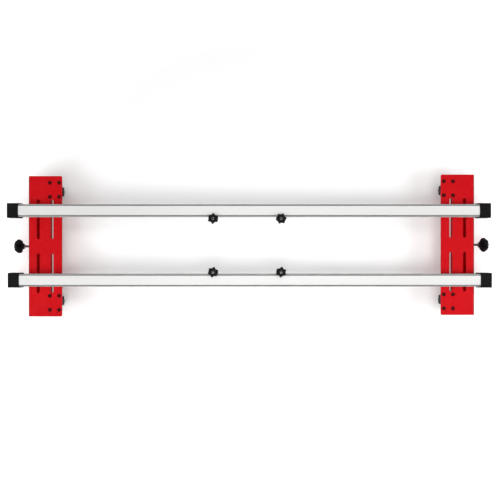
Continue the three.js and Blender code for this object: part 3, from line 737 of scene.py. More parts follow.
cap_plastic = surface("cap_plastic", (0.0030, 0.0030, 0.0032), (0.0045, 0.0045, 0.0045), 8 * mm,
                      0.5, 0.06, 0.7 * mm, 0.02 * mm, specular=0.055)
cap_outline = rounded_box(cap_half, cap_half, cap_corner, cap_corner_steps)
cavity_outline = rounded_box(cap_inside_half, cap_inside_half, rail_corner, steps=4)
wing = bowed((cap_corner_reach, -cap_half - sliver), (2 * cap_wing_reach - cap_corner_reach, 0),
             (cap_corner_reach, cap_half + sliver), cap_curve_steps)
wing += [(cap_past, cap_half + reach_past), (cap_past, -cap_half - reach_past)]
lid = bowed((cap_corner_reach, -cap_inside_half), (2 * cap_lid_reach - cap_corner_reach, 0),
            (cap_corner_reach, cap_inside_half), cap_curve_steps)
lid += [(cap_past, cap_inside_half), (cap_past, -cap_inside_half)]
cap_mesh = together([prism(cap_outline, "x", 0, cap_wing_reach)])
for outline, axis, low, high in ((cavity_outline, "x", cap_beyond - cap_play, cap_past),
                                 (wing, "y", -cap_half - reach_past, cap_half + reach_past),
                                 (lid, "z", -cap_half - reach_past, cap_half + reach_past)):
    cap_mesh = cut(cap_mesh, [prism(outline, axis, low, high)])
cap_mesh = edges_eased(cap_mesh, cap_edge, segments=3, angle=40)
for corner in corners:
    for end in ends:
        low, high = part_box(f"{corner}_{end}_cap")
        one_cap = cap_mesh.copy()
        if ends[end] < 0:
            one_cap.transform(Matrix.Rotation(math.pi, 4, "Z"))
        outer = low.x if ends[end] > 0 else high.x
        one_cap.transform(Matrix.Translation((outer, (low.y + high.y) / 2, (low.z + high.z) / 2)))
        cap = finished(f"{corner}_{end}_end_cap", one_cap, cap_plastic, cap_plastic)
        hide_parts(f"{corner}_{end}_cap")
        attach(cap, corner + "_rail_unit")

# Rail bolts. M8 hexagon bolts hang in each rail's T-slot and pass down through the bracket's
# slots, each with a flange nut below. Both are zinc plated steel.
bolt_low, bolt_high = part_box("rear_left_outer_clamp_bolt")
clamp_nut_low, clamp_nut_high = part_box("rear_left_outer_clamp_nut")
clamp_nut_top, clamp_nut_bottom = clamp_nut_high.z, clamp_nut_low.z
clamp_radius = 4 * mm
clamp_pitch = 1.25 * mm
clamp_head_flats = 13 * mm
clamp_head_height = 5.3 * mm
clamp_head_chamfer, clamp_nut_chamfer = 0.5 * mm, 0.6 * mm
clamp_flange_radius = 8 * mm
clamp_flange_height = 1.8 * mm
clamp_head_bottom = bolt_high.z - clamp_head_height
flange_bottom = clamp_nut_top - clamp_flange_height - mm
clamp_bore = clamp_radius + nut_play
clamp_nut_seed = 3

bolt_mesh = together([
    hexagon(clamp_head_flats, clamp_head_bottom, bolt_high.z, clamp_head_chamfer),
    threaded(clamp_radius, clamp_pitch, bolt_low.z, clamp_head_bottom + mm, sides=24),
])
flange_profile = [
    (0, flange_bottom), (clamp_head_flats / 2, flange_bottom),
    (clamp_flange_radius, clamp_nut_top - 0.9 * mm),
    (clamp_flange_radius, clamp_nut_top - 0.15 * mm),
    (clamp_flange_radius - 0.2 * mm, clamp_nut_top), (0, clamp_nut_top),
]
nut_bore = [(0, clamp_nut_bottom - mm), (clamp_radius + 0.8 * mm, clamp_nut_bottom - just_past),
            (clamp_bore, clamp_nut_bottom + 0.6 * mm), (clamp_bore, clamp_nut_top + mm),
            (0, clamp_nut_top + mm)]
nut_body = hexagon(clamp_head_flats, clamp_nut_bottom, clamp_nut_top - mm, clamp_nut_chamfer)
nut_flange = turned(flange_profile, sides=48)
clamp_nut_mesh = together([solid_of(cut(together([half]), [turned(nut_bore, sides=24)]))
                           for half in (nut_body, nut_flange)])
for corner, side in corners.items():
    for end in ends:
        outer_low, outer_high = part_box(f"{corner}_{end}_outer_clamp_bolt")
        inner_low, inner_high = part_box(f"{corner}_{end}_inner_clamp_bolt")
        outer_middle, inner_middle = (outer_low + outer_high) / 2, (inner_low + inner_high) / 2
        middle = ((outer_middle.x + inner_middle.x) / 2, outer_middle.y, 0)
        layout = dict(Pitch_Along=abs(outer_middle.x - inner_middle.x), Pitch_Across=0.0,
                      Count_Across=1, Middle=middle, Seed=clamp_nut_seed, Finish=zinc)
        body = corner + "_rail_unit" if end == "left" else corner + "_right_clamps"
        for source, kind, turn in ((bolt_mesh, "bolt", 0.0), (clamp_nut_mesh, "nut", math.tau)):
            layout["Most_Turn"] = (0.0, 0.0, turn)
            placed = through_tree(source.copy(), fixings_in_rows, **layout)
            fixing = finished(f"{corner}_{end}_rail_{kind}s", placed, zinc)
            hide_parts(f"{corner}_{end}_outer_clamp_{kind}",
                        f"{corner}_{end}_inner_clamp_{kind}")
            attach(fixing, body)

# Stops. A moulded black block slides in each channel and hooks up behind its lip. A zinc
# plated washer lies on the rail and the block, under the star knob that draws them together.
block_low, block_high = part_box("front_left_stop_block")
washer_low, washer_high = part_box("front_left_stop_washer")
stop_half_length = (block_high.x - block_low.x) / 2
stop_play = 0.3 * mm
stop_tail = 6 * mm
stop_inner = 34 * mm
stop_bottom = block_low.z - rail_bottom
stop_top = block_high.z - rail_bottom
stop_roof = rail_size - rail_wall - stop_play
stop_groove_low = rail_size - rail_wall - lip - stop_play
stop_corner = 6 * mm
stop_edge = 0.5 * mm
recess_half, recess_half_high, recess_corner = 4 * mm, 3.6 * mm, 1.2 * mm
recess_place, recess_depth = 11 * mm, 1.6 * mm
stud_place = 26 * mm
stud_radius = 3 * mm
stud_hole_radius = stud_radius + stop_play
washer_radius = (washer_high.x - washer_low.x) / 2
washer_thick = washer_high.z - washer_low.z
washer_ease = 0.25 * mm

stop_plastic = surface("stop_plastic", (0.006, 0.006, 0.0065), (0.009, 0.009, 0.009), 9 * mm,
                       0.5, 0.06, 0.8 * mm, 0.02 * mm, specular=0.2)
stop_section = [
    (-stop_tail, stop_bottom), (stop_inner, stop_bottom), (stop_inner, stop_top),
    (rail_half + stop_play, stop_top), (rail_half + stop_play, stop_groove_low),
    (rail_half - lip - stop_play, stop_groove_low), (rail_half - lip - stop_play, stop_roof),
    (-stop_tail, stop_roof),
]
stop_tools = []
for way in (-1, 1):
    corner_x, corner_y = stop_half_length - stop_corner, stop_inner - stop_corner
    round_off = arc((corner_x, corner_y), stop_corner, 90, 0, corner_steps)
    round_off += [(stop_half_length + mm, corner_y), (stop_half_length + mm, stop_inner + mm),
                  (corner_x, stop_inner + mm)]
    stop_tools.append(prism([(way * a, b) for a, b in round_off], "z", -mm, rail_size + mm))
    # a moulded recess in each side keeps the wall even
    recess = rounded_box(recess_half, recess_half_high, recess_corner, steps=4)
    recess = [(a + recess_place, b + (stop_bottom + stop_groove_low) / 2) for a, b in recess]
    recess_ends = sorted((way * (stop_half_length - recess_depth), way * (stop_half_length + mm)))
    stop_tools.append(prism(recess, "x", *recess_ends))
stud_hole = drill(stud_hole_radius, 0, rail_size + mm)
stop_tools.append(moved(stud_hole, Matrix.Translation((0, stud_place, 0))))
stop_blank = together([prism(stop_section, "x", -stop_half_length, stop_half_length)])
stop_mesh = edges_eased(cut(stop_blank, stop_tools), stop_edge, angle=40)
washer_mesh = together([turned([
    (stud_hole_radius, washer_ease), (stud_radius + 0.5 * mm, 0), (washer_radius - washer_ease, 0),
    (washer_radius, washer_ease), (washer_radius, washer_thick - washer_ease),
    (washer_radius - washer_ease, washer_thick), (stud_radius + 0.5 * mm, washer_thick),
    (stud_hole_radius, washer_thick - washer_ease),
], sides=64, closed_loop=True)])
for corner, side in corners.items():
    turn = Matrix.Rotation(math.pi if side > 0 else 0, 4, "Z")
    for end in ends:
        place = f"{corner}_{end}"
        low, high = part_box(place + "_stop_block")
        rail_box_low, rail_box_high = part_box(corner + "_rail")
        rail_middle = (rail_box_low.y + rail_box_high.y) / 2
        one_block, one_washer = stop_mesh.copy(), washer_mesh.copy()
        along = (low.x + high.x) / 2
        one_block.transform(Matrix.Translation((along, rail_middle, rail_bottom)) @ turn)
        washer_place = (along, rail_middle - side * stud_place, washer_low.z)
        one_washer.transform(Matrix.Translation(washer_place))
        block = finished(place + "_stop_slider", one_block, stop_plastic, stop_plastic)
        washer = finished(place + "_stop_plate_washer", one_washer, zinc)
        for piece, node, slot in ((block, "_stop_block", "stop_plastic"),
                                  (washer, "_stop_washer", "zinc_steel")):
            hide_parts(place + node)
            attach(piece, place + "_stop")

# Star knobs of the stops. Six pointed lobes moulded in satin black round a hub, with a smooth
# domed plug pressed into the dish in the middle, and a zinc plated M6 stud below.
star_radius = 17.5 * mm
star_valley_share = 0.72
star_hub_radius = 8 * mm
star_hub_height = 3 * mm
star_height = 14 * mm
star_around = 144
star_point_share = 1.07  # of the radius, where the straight sides would meet
star_blunt_from = 0.9  # of the radius, where the points start to be rounded
star_sharp_share, star_blunt_share = 0.17, 0.1  # of the radius, a point's end before and after
droop_share, droop_from = 0.06, 0.75  # how the lobes dip past this share of the radius
dish_floor = 11.9 * mm
stud_length = 12 * mm
star_lift = 0.3 * mm


def lobed_head(outline, rings, around):
    """A head about Z. Each ring is (height, inset from the outline, or a plain radius)."""
    solid = bmesh.new()
    loops = []
    for height, inset, plain in rings:
        loop = []
        for i in range(around):
            angle = 2 * math.pi * i / around
            reach, droop = plain, 0
            if plain is None:
                reach = outline(angle) - inset
                past = max(0, outline(angle) - droop_from * star_radius)
                droop = droop_share * past * (height / star_height)
            x, y = reach * math.cos(angle), reach * math.sin(angle)
            loop.append(solid.verts.new((x, y, height - droop)))
        loops.append(loop)
    for lower, upper in zip(loops, loops[1:]):
        for i in range(around):
            j = (i + 1) % around
            solid.faces.new((lower[i], lower[j], upper[j], upper[i]))
    solid.faces.new(list(reversed(loops[0])))
    solid.faces.new(loops[-1])
    return solid


def star_outline(angle):
    """Straight sides between six slightly rounded points."""
    step = math.pi / 6
    past = step - abs(angle % (2 * step) - step)
    point, valley = star_point_share * star_radius, star_valley_share * star_radius
    across = valley * math.sin(step - past) + point * math.sin(past)
    side = point * valley * math.sin(step) / across
    blunt_from = star_blunt_from * star_radius
    if side < blunt_from:
        return side
    return blunt_from + (side - blunt_from) * star_blunt_share / star_sharp_share


knob_plastic = surface("knob_plastic", (0.0025, 0.0025, 0.0028), (0.0045, 0.0045, 0.0045), 7 * mm,
                       0.4, 0.06, 0.7 * mm, 0.02 * mm, specular=0.05)
plug_plastic = surface("knob_plug", (0.006, 0.006, 0.0065), (0.009, 0.009, 0.009), 6 * mm,
                       0.16, 0.03, 0.9 * mm, 0.002 * mm, specular=0.6)
star_rings = [
    (0.0 * mm, 0, 7.4 * mm), (0.5 * mm, 0, star_hub_radius), (star_hub_height, 0, star_hub_radius),
    (3.05 * mm, 2.2 * mm, None), (3.5 * mm, 0.7 * mm, None), (4.6 * mm, 0.0, None),
    (10.6 * mm, 0.0, None), (12.2 * mm, 0.25 * mm, None), (13.2 * mm, 0.9 * mm, None),
    (13.8 * mm, 2.0 * mm, None), (star_height, 3.2 * mm, None), (star_height, 0, 7.0 * mm),
    (13.8 * mm, 0, 6.5 * mm), (12.4 * mm, 0, 6.1 * mm), (12.2 * mm, 0, 5.9 * mm),
]
star_mesh = together([lobed_head(star_outline, star_rings, star_around)])
plug_mesh = together([turned([
    (0, dish_floor), (5.8 * mm, dish_floor), (5.8 * mm, 12.5 * mm), (5.65 * mm, 12.95 * mm),
    (5.3 * mm, 13.3 * mm), (4.8 * mm, 13.55 * mm), (4.2 * mm, 13.71 * mm), (3.5 * mm, 13.8 * mm),
    (2.6 * mm, 13.84 * mm), (0, 13.86 * mm),
], sides=48)])
stud_mesh = together([threaded(stud_radius, screw_pitch, -stud_length, mm, sides=20)])
star_turns = {"rear_left": 25, "rear_right": 6, "front_left": 17, "front_right": 24}
for place, degrees in star_turns.items():
    low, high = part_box(place + "_stop_knob")
    hub_place = ((low.x + high.x) / 2, (low.y + high.y) / 2, washer_high.z + star_lift)
    to_place = Matrix.Translation(hub_place) @ Matrix.Rotation(math.radians(degrees), 4, "Z")
    for name, source, finish, slot in (("star_knob", star_mesh, knob_plastic, "knob_plastic"),
                                       ("knob_plug", plug_mesh, plug_plastic, "knob_plastic"),
                                       ("knob_stud", stud_mesh, zinc, "zinc_steel")):
        mesh = source.copy()
        mesh.transform(to_place)
        piece = finished(f"{place}_{name}", mesh, finish)
        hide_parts(place + "_stop_knob")
        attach(piece, place + "_star")

# Wheels. A black rubber tyre with shallow grooves sits on a moulded core with six ribs in its
# web. It runs on a flanged nylon bush over an M8 bolt through the leg's slot, and a star knob
# on the bolt's end holds it at its height.
wheel_low, wheel_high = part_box("rear_left_wheel")
axle_low_box, axle_high_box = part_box("rear_left_axle_bolt")
wheel_radius = (wheel_high.z - wheel_low.z) / 2
wheel_half = (wheel_high.x - wheel_low.x) / 2
wheel_bore = 6 * mm
core_radius = 19 * mm
hub_radius = 10 * mm
web_half = 3.5 * mm
axle_radius = 4 * mm
bush_wall = 1.4 * mm
bush_flange_radius = 9 * mm
bush_flange = 1.4 * mm
tyre_round = 2 * mm
tyre_round_steps = 5
tyre_seat_depth = 0.5 * mm
core_edge, core_rim_edge = 0.3 * mm, 0.4 * mm
bush_play, bush_side_play, bush_edge = 0.3 * mm, 0.4 * mm, 0.2 * mm
groove_places = (-3 * mm, 0, 3 * mm)
groove_half, groove_floor_half, groove_depth = 0.6 * mm, 0.35 * mm, 0.7 * mm
ribs = 6
axle_head_height = 4.5 * mm
axle_head_chamfer = 0.5 * mm
axle_length = axle_high_box.x - axle_low_box.x
axle_rod = axle_radius - hairline
axle_thread_start = 24 * mm
knob_bore = 4.3 * mm

rubber = surface("tyre_rubber", (0.012, 0.012, 0.012), (0.02, 0.02, 0.019), 10 * mm,
                 0.75, 0.08, 0.5 * mm, 0.03 * mm, specular=0.25)
core_plastic = surface("wheel_core", (0.03, 0.03, 0.032), (0.04, 0.04, 0.04), 9 * mm,
                       0.5, 0.06, 0.8 * mm, 0.02 * mm, specular=0.3)
nylon = surface("bush_nylon", (0.74, 0.73, 0.68), (0.80, 0.79, 0.74), 8 * mm,
                0.45, 0.06, 0.9 * mm, 0.01 * mm, specular=0.4)


def ribs_around():
    """A tree that sets copies of the object's own rib evenly round the X axis."""
    tree = bpy.data.node_groups.new("ribs_around", "GeometryNodeTree")
    sockets = tree.interface
    sockets.new_socket("Geometry", in_out="INPUT", socket_type="NodeSocketGeometry")
    sockets.new_socket("Count", in_out="INPUT", socket_type="NodeSocketInt").default_value = 6
    sockets.new_socket("Finish", in_out="INPUT", socket_type="NodeSocketMaterial")
    sockets.new_socket("Geometry", in_out="OUTPUT", socket_type="NodeSocketGeometry")
    nodes, links = tree.nodes, tree.links
    given, result = nodes.new("NodeGroupInput"), nodes.new("NodeGroupOutput")
    points = nodes.new("GeometryNodeMeshLine")
    points.mode = "OFFSET"
    points.inputs["Offset"].default_value = (0, 0, 0)
    links.new(given.outputs["Count"], points.inputs["Count"])
    index = nodes.new("GeometryNodeInputIndex")
    step = nodes.new("ShaderNodeMath")
    step.operation = "DIVIDE"
    step.inputs[0].default_value = math.tau
    links.new(given.outputs["Count"], step.inputs[1])
    angle = nodes.new("ShaderNodeMath")
    angle.operation = "MULTIPLY"
    links.new(index.outputs["Index"], angle.inputs[0])
    links.new(step.outputs[0], angle.inputs[1])
    turn = nodes.new("ShaderNodeCombineXYZ")
    links.new(angle.outputs[0], turn.inputs["X"])
    copies = nodes.new("GeometryNodeInstanceOnPoints")
    links.new(points.outputs["Mesh"], copies.inputs["Points"])
    links.new(given.outputs["Geometry"], copies.inputs["Instance"])
    links.new(turn.outputs["Vector"], copies.inputs["Rotation"])
    plain = nodes.new("GeometryNodeRealizeInstances")
    links.new(copies.outputs["Instances"], plain.inputs["Geometry"])
    coated = nodes.new("GeometryNodeSetMaterial")
    links.new(plain.outputs["Geometry"], coated.inputs["Geometry"])
    links.new(given.outputs["Finish"], coated.inputs["Material"])
    links.new(coated.outputs["Geometry"], result.inputs["Geometry"])
    return tree


tyre_corner = (wheel_half - tyre_round, wheel_radius - tyre_round)
left_round = arc((-tyre_corner[0], tyre_corner[1]), tyre_round, 180, 90, tyre_round_steps)
right_round = arc(tyre_corner, tyre_round, 90, 0, tyre_round_steps)
tyre_profile = [(core_radius - tyre_seat_depth, -wheel_half + 0.2 * mm), (core_radius, -wheel_half)]
tyre_profile += [(r, h) for h, r in left_round]
for groove in groove_places:
    tyre_profile += [(wheel_radius, groove - groove_half),
                     (wheel_radius - groove_depth, groove - groove_floor_half),
                     (wheel_radius - groove_depth, groove + groove_floor_half),
                     (wheel_radius, groove + groove_half)]
tyre_profile += [(r, h) for h, r in right_round]
tyre_profile += [(core_radius, wheel_half), (core_radius - tyre_seat_depth, wheel_half - 0.2 * mm)]
tyre_mesh = together([moved(turned(tyre_profile, sides=96, closed_loop=True), lay_along_x)])
core_profile = [
    (wheel_bore, -wheel_half + core_edge), (wheel_bore + core_edge, -wheel_half),
    (hub_radius - core_rim_edge, -wheel_half), (hub_radius, -wheel_half + core_rim_edge),
    (hub_radius + core_rim_edge, -web_half), (core_radius - 3 * mm, -web_half),
    (core_radius - 2.2 * mm, -wheel_half + 0.8 * mm),
    (core_radius - 0.1 * mm, -wheel_half + core_rim_edge),
]
core_profile += [(r, -h) for r, h in reversed(core_profile)]
core_mesh = together([moved(turned(core_profile, sides=72, closed_loop=True), lay_along_x)])
rib_outline = [(0.9 * mm, hub_radius - 0.5 * mm), (0.7 * mm, core_radius - 2.4 * mm),
               (-0.7 * mm, core_radius - 2.4 * mm), (-0.9 * mm, hub_radius - 0.5 * mm)]
rib = prism(rib_outline, "x", -wheel_half + 1.4 * mm, wheel_half - 1.4 * mm)
bmesh.ops.bevel(rib, geom=rib.edges[:], offset=0.3 * mm, segments=2, profile=0.5, affect="EDGES")
rib_mesh = through_tree(together([rib]), ribs_around(), Count=ribs, Finish=core_plastic)

bush_length = bush_flange + bush_side_play + 2 * wheel_half + bush_side_play
bush_inner = axle_radius + bush_play
bush_outer = bush_inner + bush_wall
bush_mesh = together([moved(turned([
    (bush_inner, bush_edge), (bush_inner + bush_edge, 0), (bush_flange_radius - 0.3 * mm, 0),
    (bush_flange_radius, 0.3 * mm), (bush_flange_radius, bush_flange - bush_edge),
    (bush_flange_radius - bush_edge, bush_flange), (bush_outer, bush_flange),
    (bush_outer, bush_length - bush_edge), (bush_outer - bush_edge, bush_length),
    (bush_inner, bush_length),
], sides=56, closed_loop=True), lay_along_x)])
axle_shank = turned([
    (0, 2 * mm), (axle_rod, 2 * mm), (axle_rod, axle_thread_start),
    (axle_radius - 0.7 * mm, axle_thread_start + mm), (0, axle_thread_start + mm),
], sides=40)
axle_thread = threaded(axle_rod, clamp_pitch, axle_thread_start, axle_length, sides=24,
                       low_taper=0, high_taper=1.0)
axle_head = hexagon(clamp_head_flats, 0, axle_head_height, axle_head_chamfer)
axle_bolt_mesh = together([moved(solid, lay_along_x)
                           for solid in (axle_head, axle_shank, axle_thread)])
wheel_star_rings = [
    (12.2 * mm, 0, knob_bore), (0.4 * mm, 0, knob_bore), (0.0 * mm, 0, knob_bore + 0.4 * mm),
    (0.0 * mm, 0, 8.4 * mm), (0.5 * mm, 0, 9 * mm), (star_hub_height, 0, 9 * mm),
] + star_rings[3:11] + [(star_height, 0, 6.0 * mm), (13.6 * mm, 0, 5.0 * mm)]
wheel_star = lobed_head(star_outline, wheel_star_rings, star_around)
wheel_star_mesh = together([moved(wheel_star, lay_along_x)])
for end, way in ends.items():
    inward = Matrix.Identity(4) if way > 0 else Matrix.Rotation(math.pi, 4, "Z")
    for corner in corners:
        place = f"{corner}_{end}"
        wheel_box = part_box(place + "_wheel")
        middle = (wheel_box[0] + wheel_box[1]) / 2
        starts = {"_wheel": middle.x}
        for node in ("_bush", "_axle_bolt", "_wheel_knob"):
            low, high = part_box(place + node)
            starts[node] = low.x if way > 0 else high.x
        for name, source, finish, slot, node, body in (
            ("tyre", tyre_mesh, rubber, "tyre_rubber", "_wheel", "_roller"),
            ("wheel_core", core_mesh, core_plastic, "tyre_rubber", "_wheel", "_roller"),
            ("wheel_ribs", rib_mesh, core_plastic, "tyre_rubber", "_wheel", "_roller"),
            ("wheel_bush", bush_mesh, nylon, "bush_nylon", "_bush", "_axle"),
            ("axle_bolt_steel", axle_bolt_mesh, zinc, "zinc_steel", "_axle_bolt", "_axle"),
            ("wheel_star_knob", wheel_star_mesh, knob_plastic, "knob_plastic", "_wheel_knob",
             "_wheel_star"),
        ):
            mesh = source.copy()
            mesh.transform(Matrix.Translation((starts[node], middle.y, middle.z)) @ inward)
            piece = finished(f"{place}_{name}", mesh, finish)
            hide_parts(place + node)
            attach(piece, place + body)

# Lock screws. A long M8 screw with a rounded tip runs through each web and its weld nut to
# press a guide rail, and a large black moulded knob with eight lobes turns it from outside.
lock_low, lock_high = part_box("left_lock_knob")
screw_low, screw_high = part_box("left_lock_screw")
lock_knob_radius = 23 * mm
lock_outer = lock_high.x - lock_low.x
lock_valley_share = 0.73
lock_lobes = 8
lock_sharpness = 0.65
lock_around = 192
lock_rod_radius = 4 * mm
insert_radius = 7 * mm
insert_bore = 4.2 * mm


def lock_outline(angle):
    """Round lobes with narrow valleys between them."""
    rise = (0.5 + 0.5 * math.cos(lock_lobes * angle)) ** lock_sharpness
    return lock_knob_radius * (lock_valley_share + (1 - lock_valley_share) * rise)


def lock_rings():
    """Rings from the hub's face at height 0 to the outer face."""
    rings = [
        (0.0, 0, 4.3 * mm), (0.0, 0, 8.2 * mm), (0.7 * mm, 0, 9.0 * mm), (5.6 * mm, 0, 9.3 * mm),
        (6.6 * mm, 0, 9.8 * mm), (7.2 * mm, 7.0 * mm, None), (8.6 * mm, 4.6 * mm, None),
        (10.6 * mm, 2.4 * mm, None), (13.0 * mm, 1.1 * mm, None), (15.6 * mm, 0.2 * mm, None),
        (18.0 * mm, 0.0, None),
    ]
    # over the top each ring is given by how far it lies below the outer face
    for below, inset in ((9.0, 0.2), (7.2, 1.2), (5.6, 2.8), (4.6, 4.4), (2.6, 5.2), (0.8, 6.0),
                         (0, 7.2)):
        rings.append((lock_outer - below * mm, inset * mm, None))
    for below, radius in ((0, 9.2), (0.5, 8.6), (2.3, 7.8), (2.5, 7.2), (1.4, 4.0), (1.3, 1.0)):
        rings.append((lock_outer - below * mm, 0, radius * mm))
    return rings


lay_outward = Matrix.Rotation(-math.pi / 2, 4, "Y")
lock_knob_mesh = together([moved(lobed_head(lock_outline, lock_rings(), lock_around), lay_outward)])
insert_mesh = together([moved(turned([
    (insert_bore, -0.25 * mm), (insert_radius - 0.2 * mm, -0.25 * mm),
    (insert_radius, -0.05 * mm), (insert_radius, 0.5 * mm), (insert_bore, 0.5 * mm),
], sides=48, closed_loop=True), lay_outward)])
screw_length = screw_high.x - screw_low.x
lock_thread = threaded(lock_rod_radius, clamp_pitch, 0, screw_length - 3 * mm, sides=32,
                       low_taper=0.8)
lock_tip = turned([
    (0, screw_length - 4 * mm), (3.1 * mm, screw_length - 4 * mm),
    (3.2 * mm, screw_length - 2 * mm),
    (2.9 * mm, screw_length - 1.0 * mm), (2.2 * mm, screw_length - 0.35 * mm),
    (1.2 * mm, screw_length - 0.05 * mm), (0, screw_length),
], sides=32)
lock_screw_mesh = together([moved(lock_thread, lay_along_x), moved(lock_tip, lay_along_x)])
dark_steel = surface("dark_steel", (0.19, 0.18, 0.175), (0.25, 0.24, 0.23), 6 * mm,
                     0.34, 0.08, 0.6 * mm, 0.008 * mm, metallic=1.0)
lock_turns = {"left": 12, "right": 4}
for end, way in ends.items():
    low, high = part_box(end + "_lock_knob")
    screw_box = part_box(end + "_lock_screw")
    bracket_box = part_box(end + "_bracket")
    bracket_y = (bracket_box[0].y + bracket_box[1].y) / 2
    inward = Matrix.Identity(4) if way > 0 else Matrix.Rotation(math.pi, 4, "Z")
    hub_face = high.x if way > 0 else low.x
    turn = Matrix.Rotation(math.radians(lock_turns[end]), 4, "X")
    for name, source, finish, slot in (
        ("lock_knob_moulding", lock_knob_mesh, knob_plastic, "knob_plastic"),
        ("lock_knob_insert", insert_mesh, dark_steel, "zinc_steel"),
    ):
        mesh = source.copy()
        mesh.transform(Matrix.Translation((hub_face, bracket_y, lock_height)) @ inward @ turn)
        piece = finished(f"{end}_{name}", mesh, finish)
        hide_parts(end + "_lock_knob")
        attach(piece, end + "_lock_grip")
    rod_mesh = lock_screw_mesh.copy()
    rod_start = screw_box[0].x if way > 0 else screw_box[1].x
    rod_mesh.transform(Matrix.Translation((rod_start, bracket_y, lock_height)) @ inward)
    rod = finished(end + "_lock_screw_steel", rod_mesh, dark_steel)
    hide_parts(end + "_lock_screw")
    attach(rod, end + "_lock_shaft")

# Studio. A pale floor with a glow, seen only by the camera and in gloss, that is painted light:
# weak near the object, so the floor round it reads darker, and strong far off. Broad soft lights
# overhead, in front and beyond each end, a narrow one on the floor at each end, and the camera
# straight above.
floor_half = 12.0
floor_corner = 1.0
floor_bottom, floor_top = -0.02, -0.0005
floor_white = 0.92
paler_from, palest_from = 0.64, 1.5  # metres from the middle of the floor
near_glow, far_glow = 0.155, 0.85
floor_outline = rounded_box(floor_half, floor_half, floor_corner, steps=6)
floor_mesh = together([prism(floor_outline, "z", floor_bottom, floor_top)])
floor = bpy.data.objects.new("floor", floor_mesh)
bpy.context.scene.collection.objects.link(floor)


def shown_rays(nodes, links):
    """1 for what the camera sees, straight or off gloss or through glass, and 0 for light."""
    path = nodes.new("ShaderNodeLightPath")
    shown = path.outputs["Is Camera Ray"]
    for ray in ("Is Glossy Ray", "Is Transmission Ray"):
        either = nodes.new("ShaderNodeMath")
        either.operation = "MAXIMUM"
        links.new(shown, either.inputs[0])
        links.new(path.outputs[ray], either.inputs[1])
        shown = either.outputs[0]
    return shown


floor_paper = bpy.data.materials.new("floor_paper")
floor_paper.use_nodes = True
nodes, links = floor_paper.node_tree.nodes, floor_paper.node_tree.links
paper = nodes["Principled BSDF"]
paper.inputs["Base Color"].default_value = (floor_white, floor_white, floor_white, 1)
paper.inputs["Roughness"].default_value = 0.9
paper.inputs["Specular IOR Level"].default_value = 0.0
glow = nodes.new("ShaderNodeEmission")
glow.inputs["Color"].default_value = (1, 1, 1, 1)
floor_place = nodes.new("ShaderNodeTexCoord")
from_middle = nodes.new("ShaderNodeVectorMath")
from_middle.operation = "LENGTH"
links.new(floor_place.outputs["Object"], from_middle.inputs[0])
# painted light: the glow rises with distance, leaving the floor near the object darker
paler_far_off = nodes.new("ShaderNodeMapRange")
paler_far_off.inputs["From Min"].default_value = paler_from
paler_far_off.inputs["From Max"].default_value = palest_from
paler_far_off.inputs["To Min"].default_value = near_glow
paler_far_off.inputs["To Max"].default_value = far_glow
links.new(from_middle.outputs["Value"], paler_far_off.inputs["Value"])
level = nodes.new("ShaderNodeMath")
level.operation = "MULTIPLY"
links.new(paler_far_off.outputs["Result"], level.inputs[1])
links.new(shown_rays(nodes, links), level.inputs[0])
links.new(level.outputs[0], glow.inputs["Strength"])
both = nodes.new("ShaderNodeAddShader")
links.new(paper.outputs["BSDF"], both.inputs[0])
links.new(glow.outputs["Emission"], both.inputs[1])
links.new(both.outputs["Shader"], nodes["Material Output"].inputs["Surface"])
floor_mesh.materials.append(floor_paper)


def soft_light(name, place, aim, wide, high, power, spread):
    """A rectangular soft light at a place, turned towards a point."""
    lamp = bpy.data.lights.new(name, "AREA")
    lamp.shape = "RECTANGLE"
    lamp.size, lamp.size_y = wide, high
    lamp.energy = power
    lamp.spread = math.radians(spread)
    holder = bpy.data.objects.new(name, lamp)
    holder.location = place
    holder.rotation_euler = (Vector(aim) - Vector(place)).to_track_quat("-Z", "Y").to_euler()
    bpy.context.scene.collection.objects.link(holder)


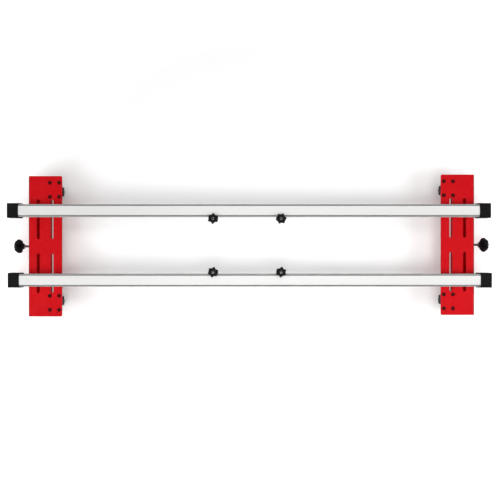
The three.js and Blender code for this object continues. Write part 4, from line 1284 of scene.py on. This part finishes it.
# each light's place, the point it is turned to, its width and height, its power and its spread
soft_light("overhead", (0.2, -0.8, 2.9), (0.2, -0.8, 0), 1.5, 1.0, 7.3, 64)
soft_light("overhead_rear", (0.15, 0.9, 2.9), (0.15, 0.9, 0), 1.9, 0.6, 3.8, 70)
soft_light("left_end", (-1.9, -0.25, 1.7), (-0.75, -0.05, 0), 0.9, 0.9, 4.2, 120)
soft_light("right_end", (1.9, -0.25, 1.7), (0.75, -0.05, 0), 0.9, 0.9, 6.0, 120)
soft_light("left_front", (-1.2, -1.2, 2.3), (-0.1, -0.05, 0), 0.8, 0.8, 3.7, 90)
soft_light("left_floor", (-1.12, -0.1, 2.9), (-1.12, -0.1, 0), 0.4, 1.2, 0.8, 16)
soft_light("right_floor", (1.12, -0.1, 2.9), (1.12, -0.1, 0), 0.4, 1.2, 0.5, 16)

wall_light, ceiling_light = 0.03, 0.37
wall_height, ceiling_height = 0.1, 0.7  # how far up a ray points, from 0 level to 1 straight up
world = bpy.data.worlds.new("studio")
bpy.context.scene.world = world
world.use_nodes = True
nodes, links = world.node_tree.nodes, world.node_tree.links
room = nodes["Background"]
room.inputs["Color"].default_value = (1, 1, 1, 1)
direction = nodes.new("ShaderNodeTexCoord")
compass = nodes.new("ShaderNodeSeparateXYZ")
links.new(direction.outputs["Object"], compass.inputs["Vector"])
walls_to_ceiling = nodes.new("ShaderNodeMapRange")
walls_to_ceiling.inputs["From Min"].default_value = wall_height
walls_to_ceiling.inputs["From Max"].default_value = ceiling_height
walls_to_ceiling.inputs["To Min"].default_value = wall_light
walls_to_ceiling.inputs["To Max"].default_value = ceiling_light
links.new(compass.outputs["Z"], walls_to_ceiling.inputs["Value"])
links.new(walls_to_ceiling.outputs["Result"], room.inputs["Strength"])
backdrop = nodes.new("ShaderNodeBackground")
backdrop.inputs["Color"].default_value = (1, 1, 1, 1)
backdrop.inputs["Strength"].default_value = 1.0
which = nodes.new("ShaderNodeMixShader")
links.new(shown_rays(nodes, links), which.inputs["Fac"])
links.new(room.outputs["Background"], which.inputs[1])
links.new(backdrop.outputs["Background"], which.inputs[2])
links.new(which.outputs["Shader"], nodes["World Output"].inputs["Surface"])

camera_data = bpy.data.cameras.new("camera")
camera_data.lens = 54.8
camera_data.sensor_width = 36
camera_data.clip_end = 100
camera = bpy.data.objects.new("camera", camera_data)
camera.location = (-0.0046, -0.0146, 2.551)
bpy.context.scene.collection.objects.link(camera)
bpy.context.scene.camera = camera
bpy.context.scene.view_settings.view_transform = "Standard"
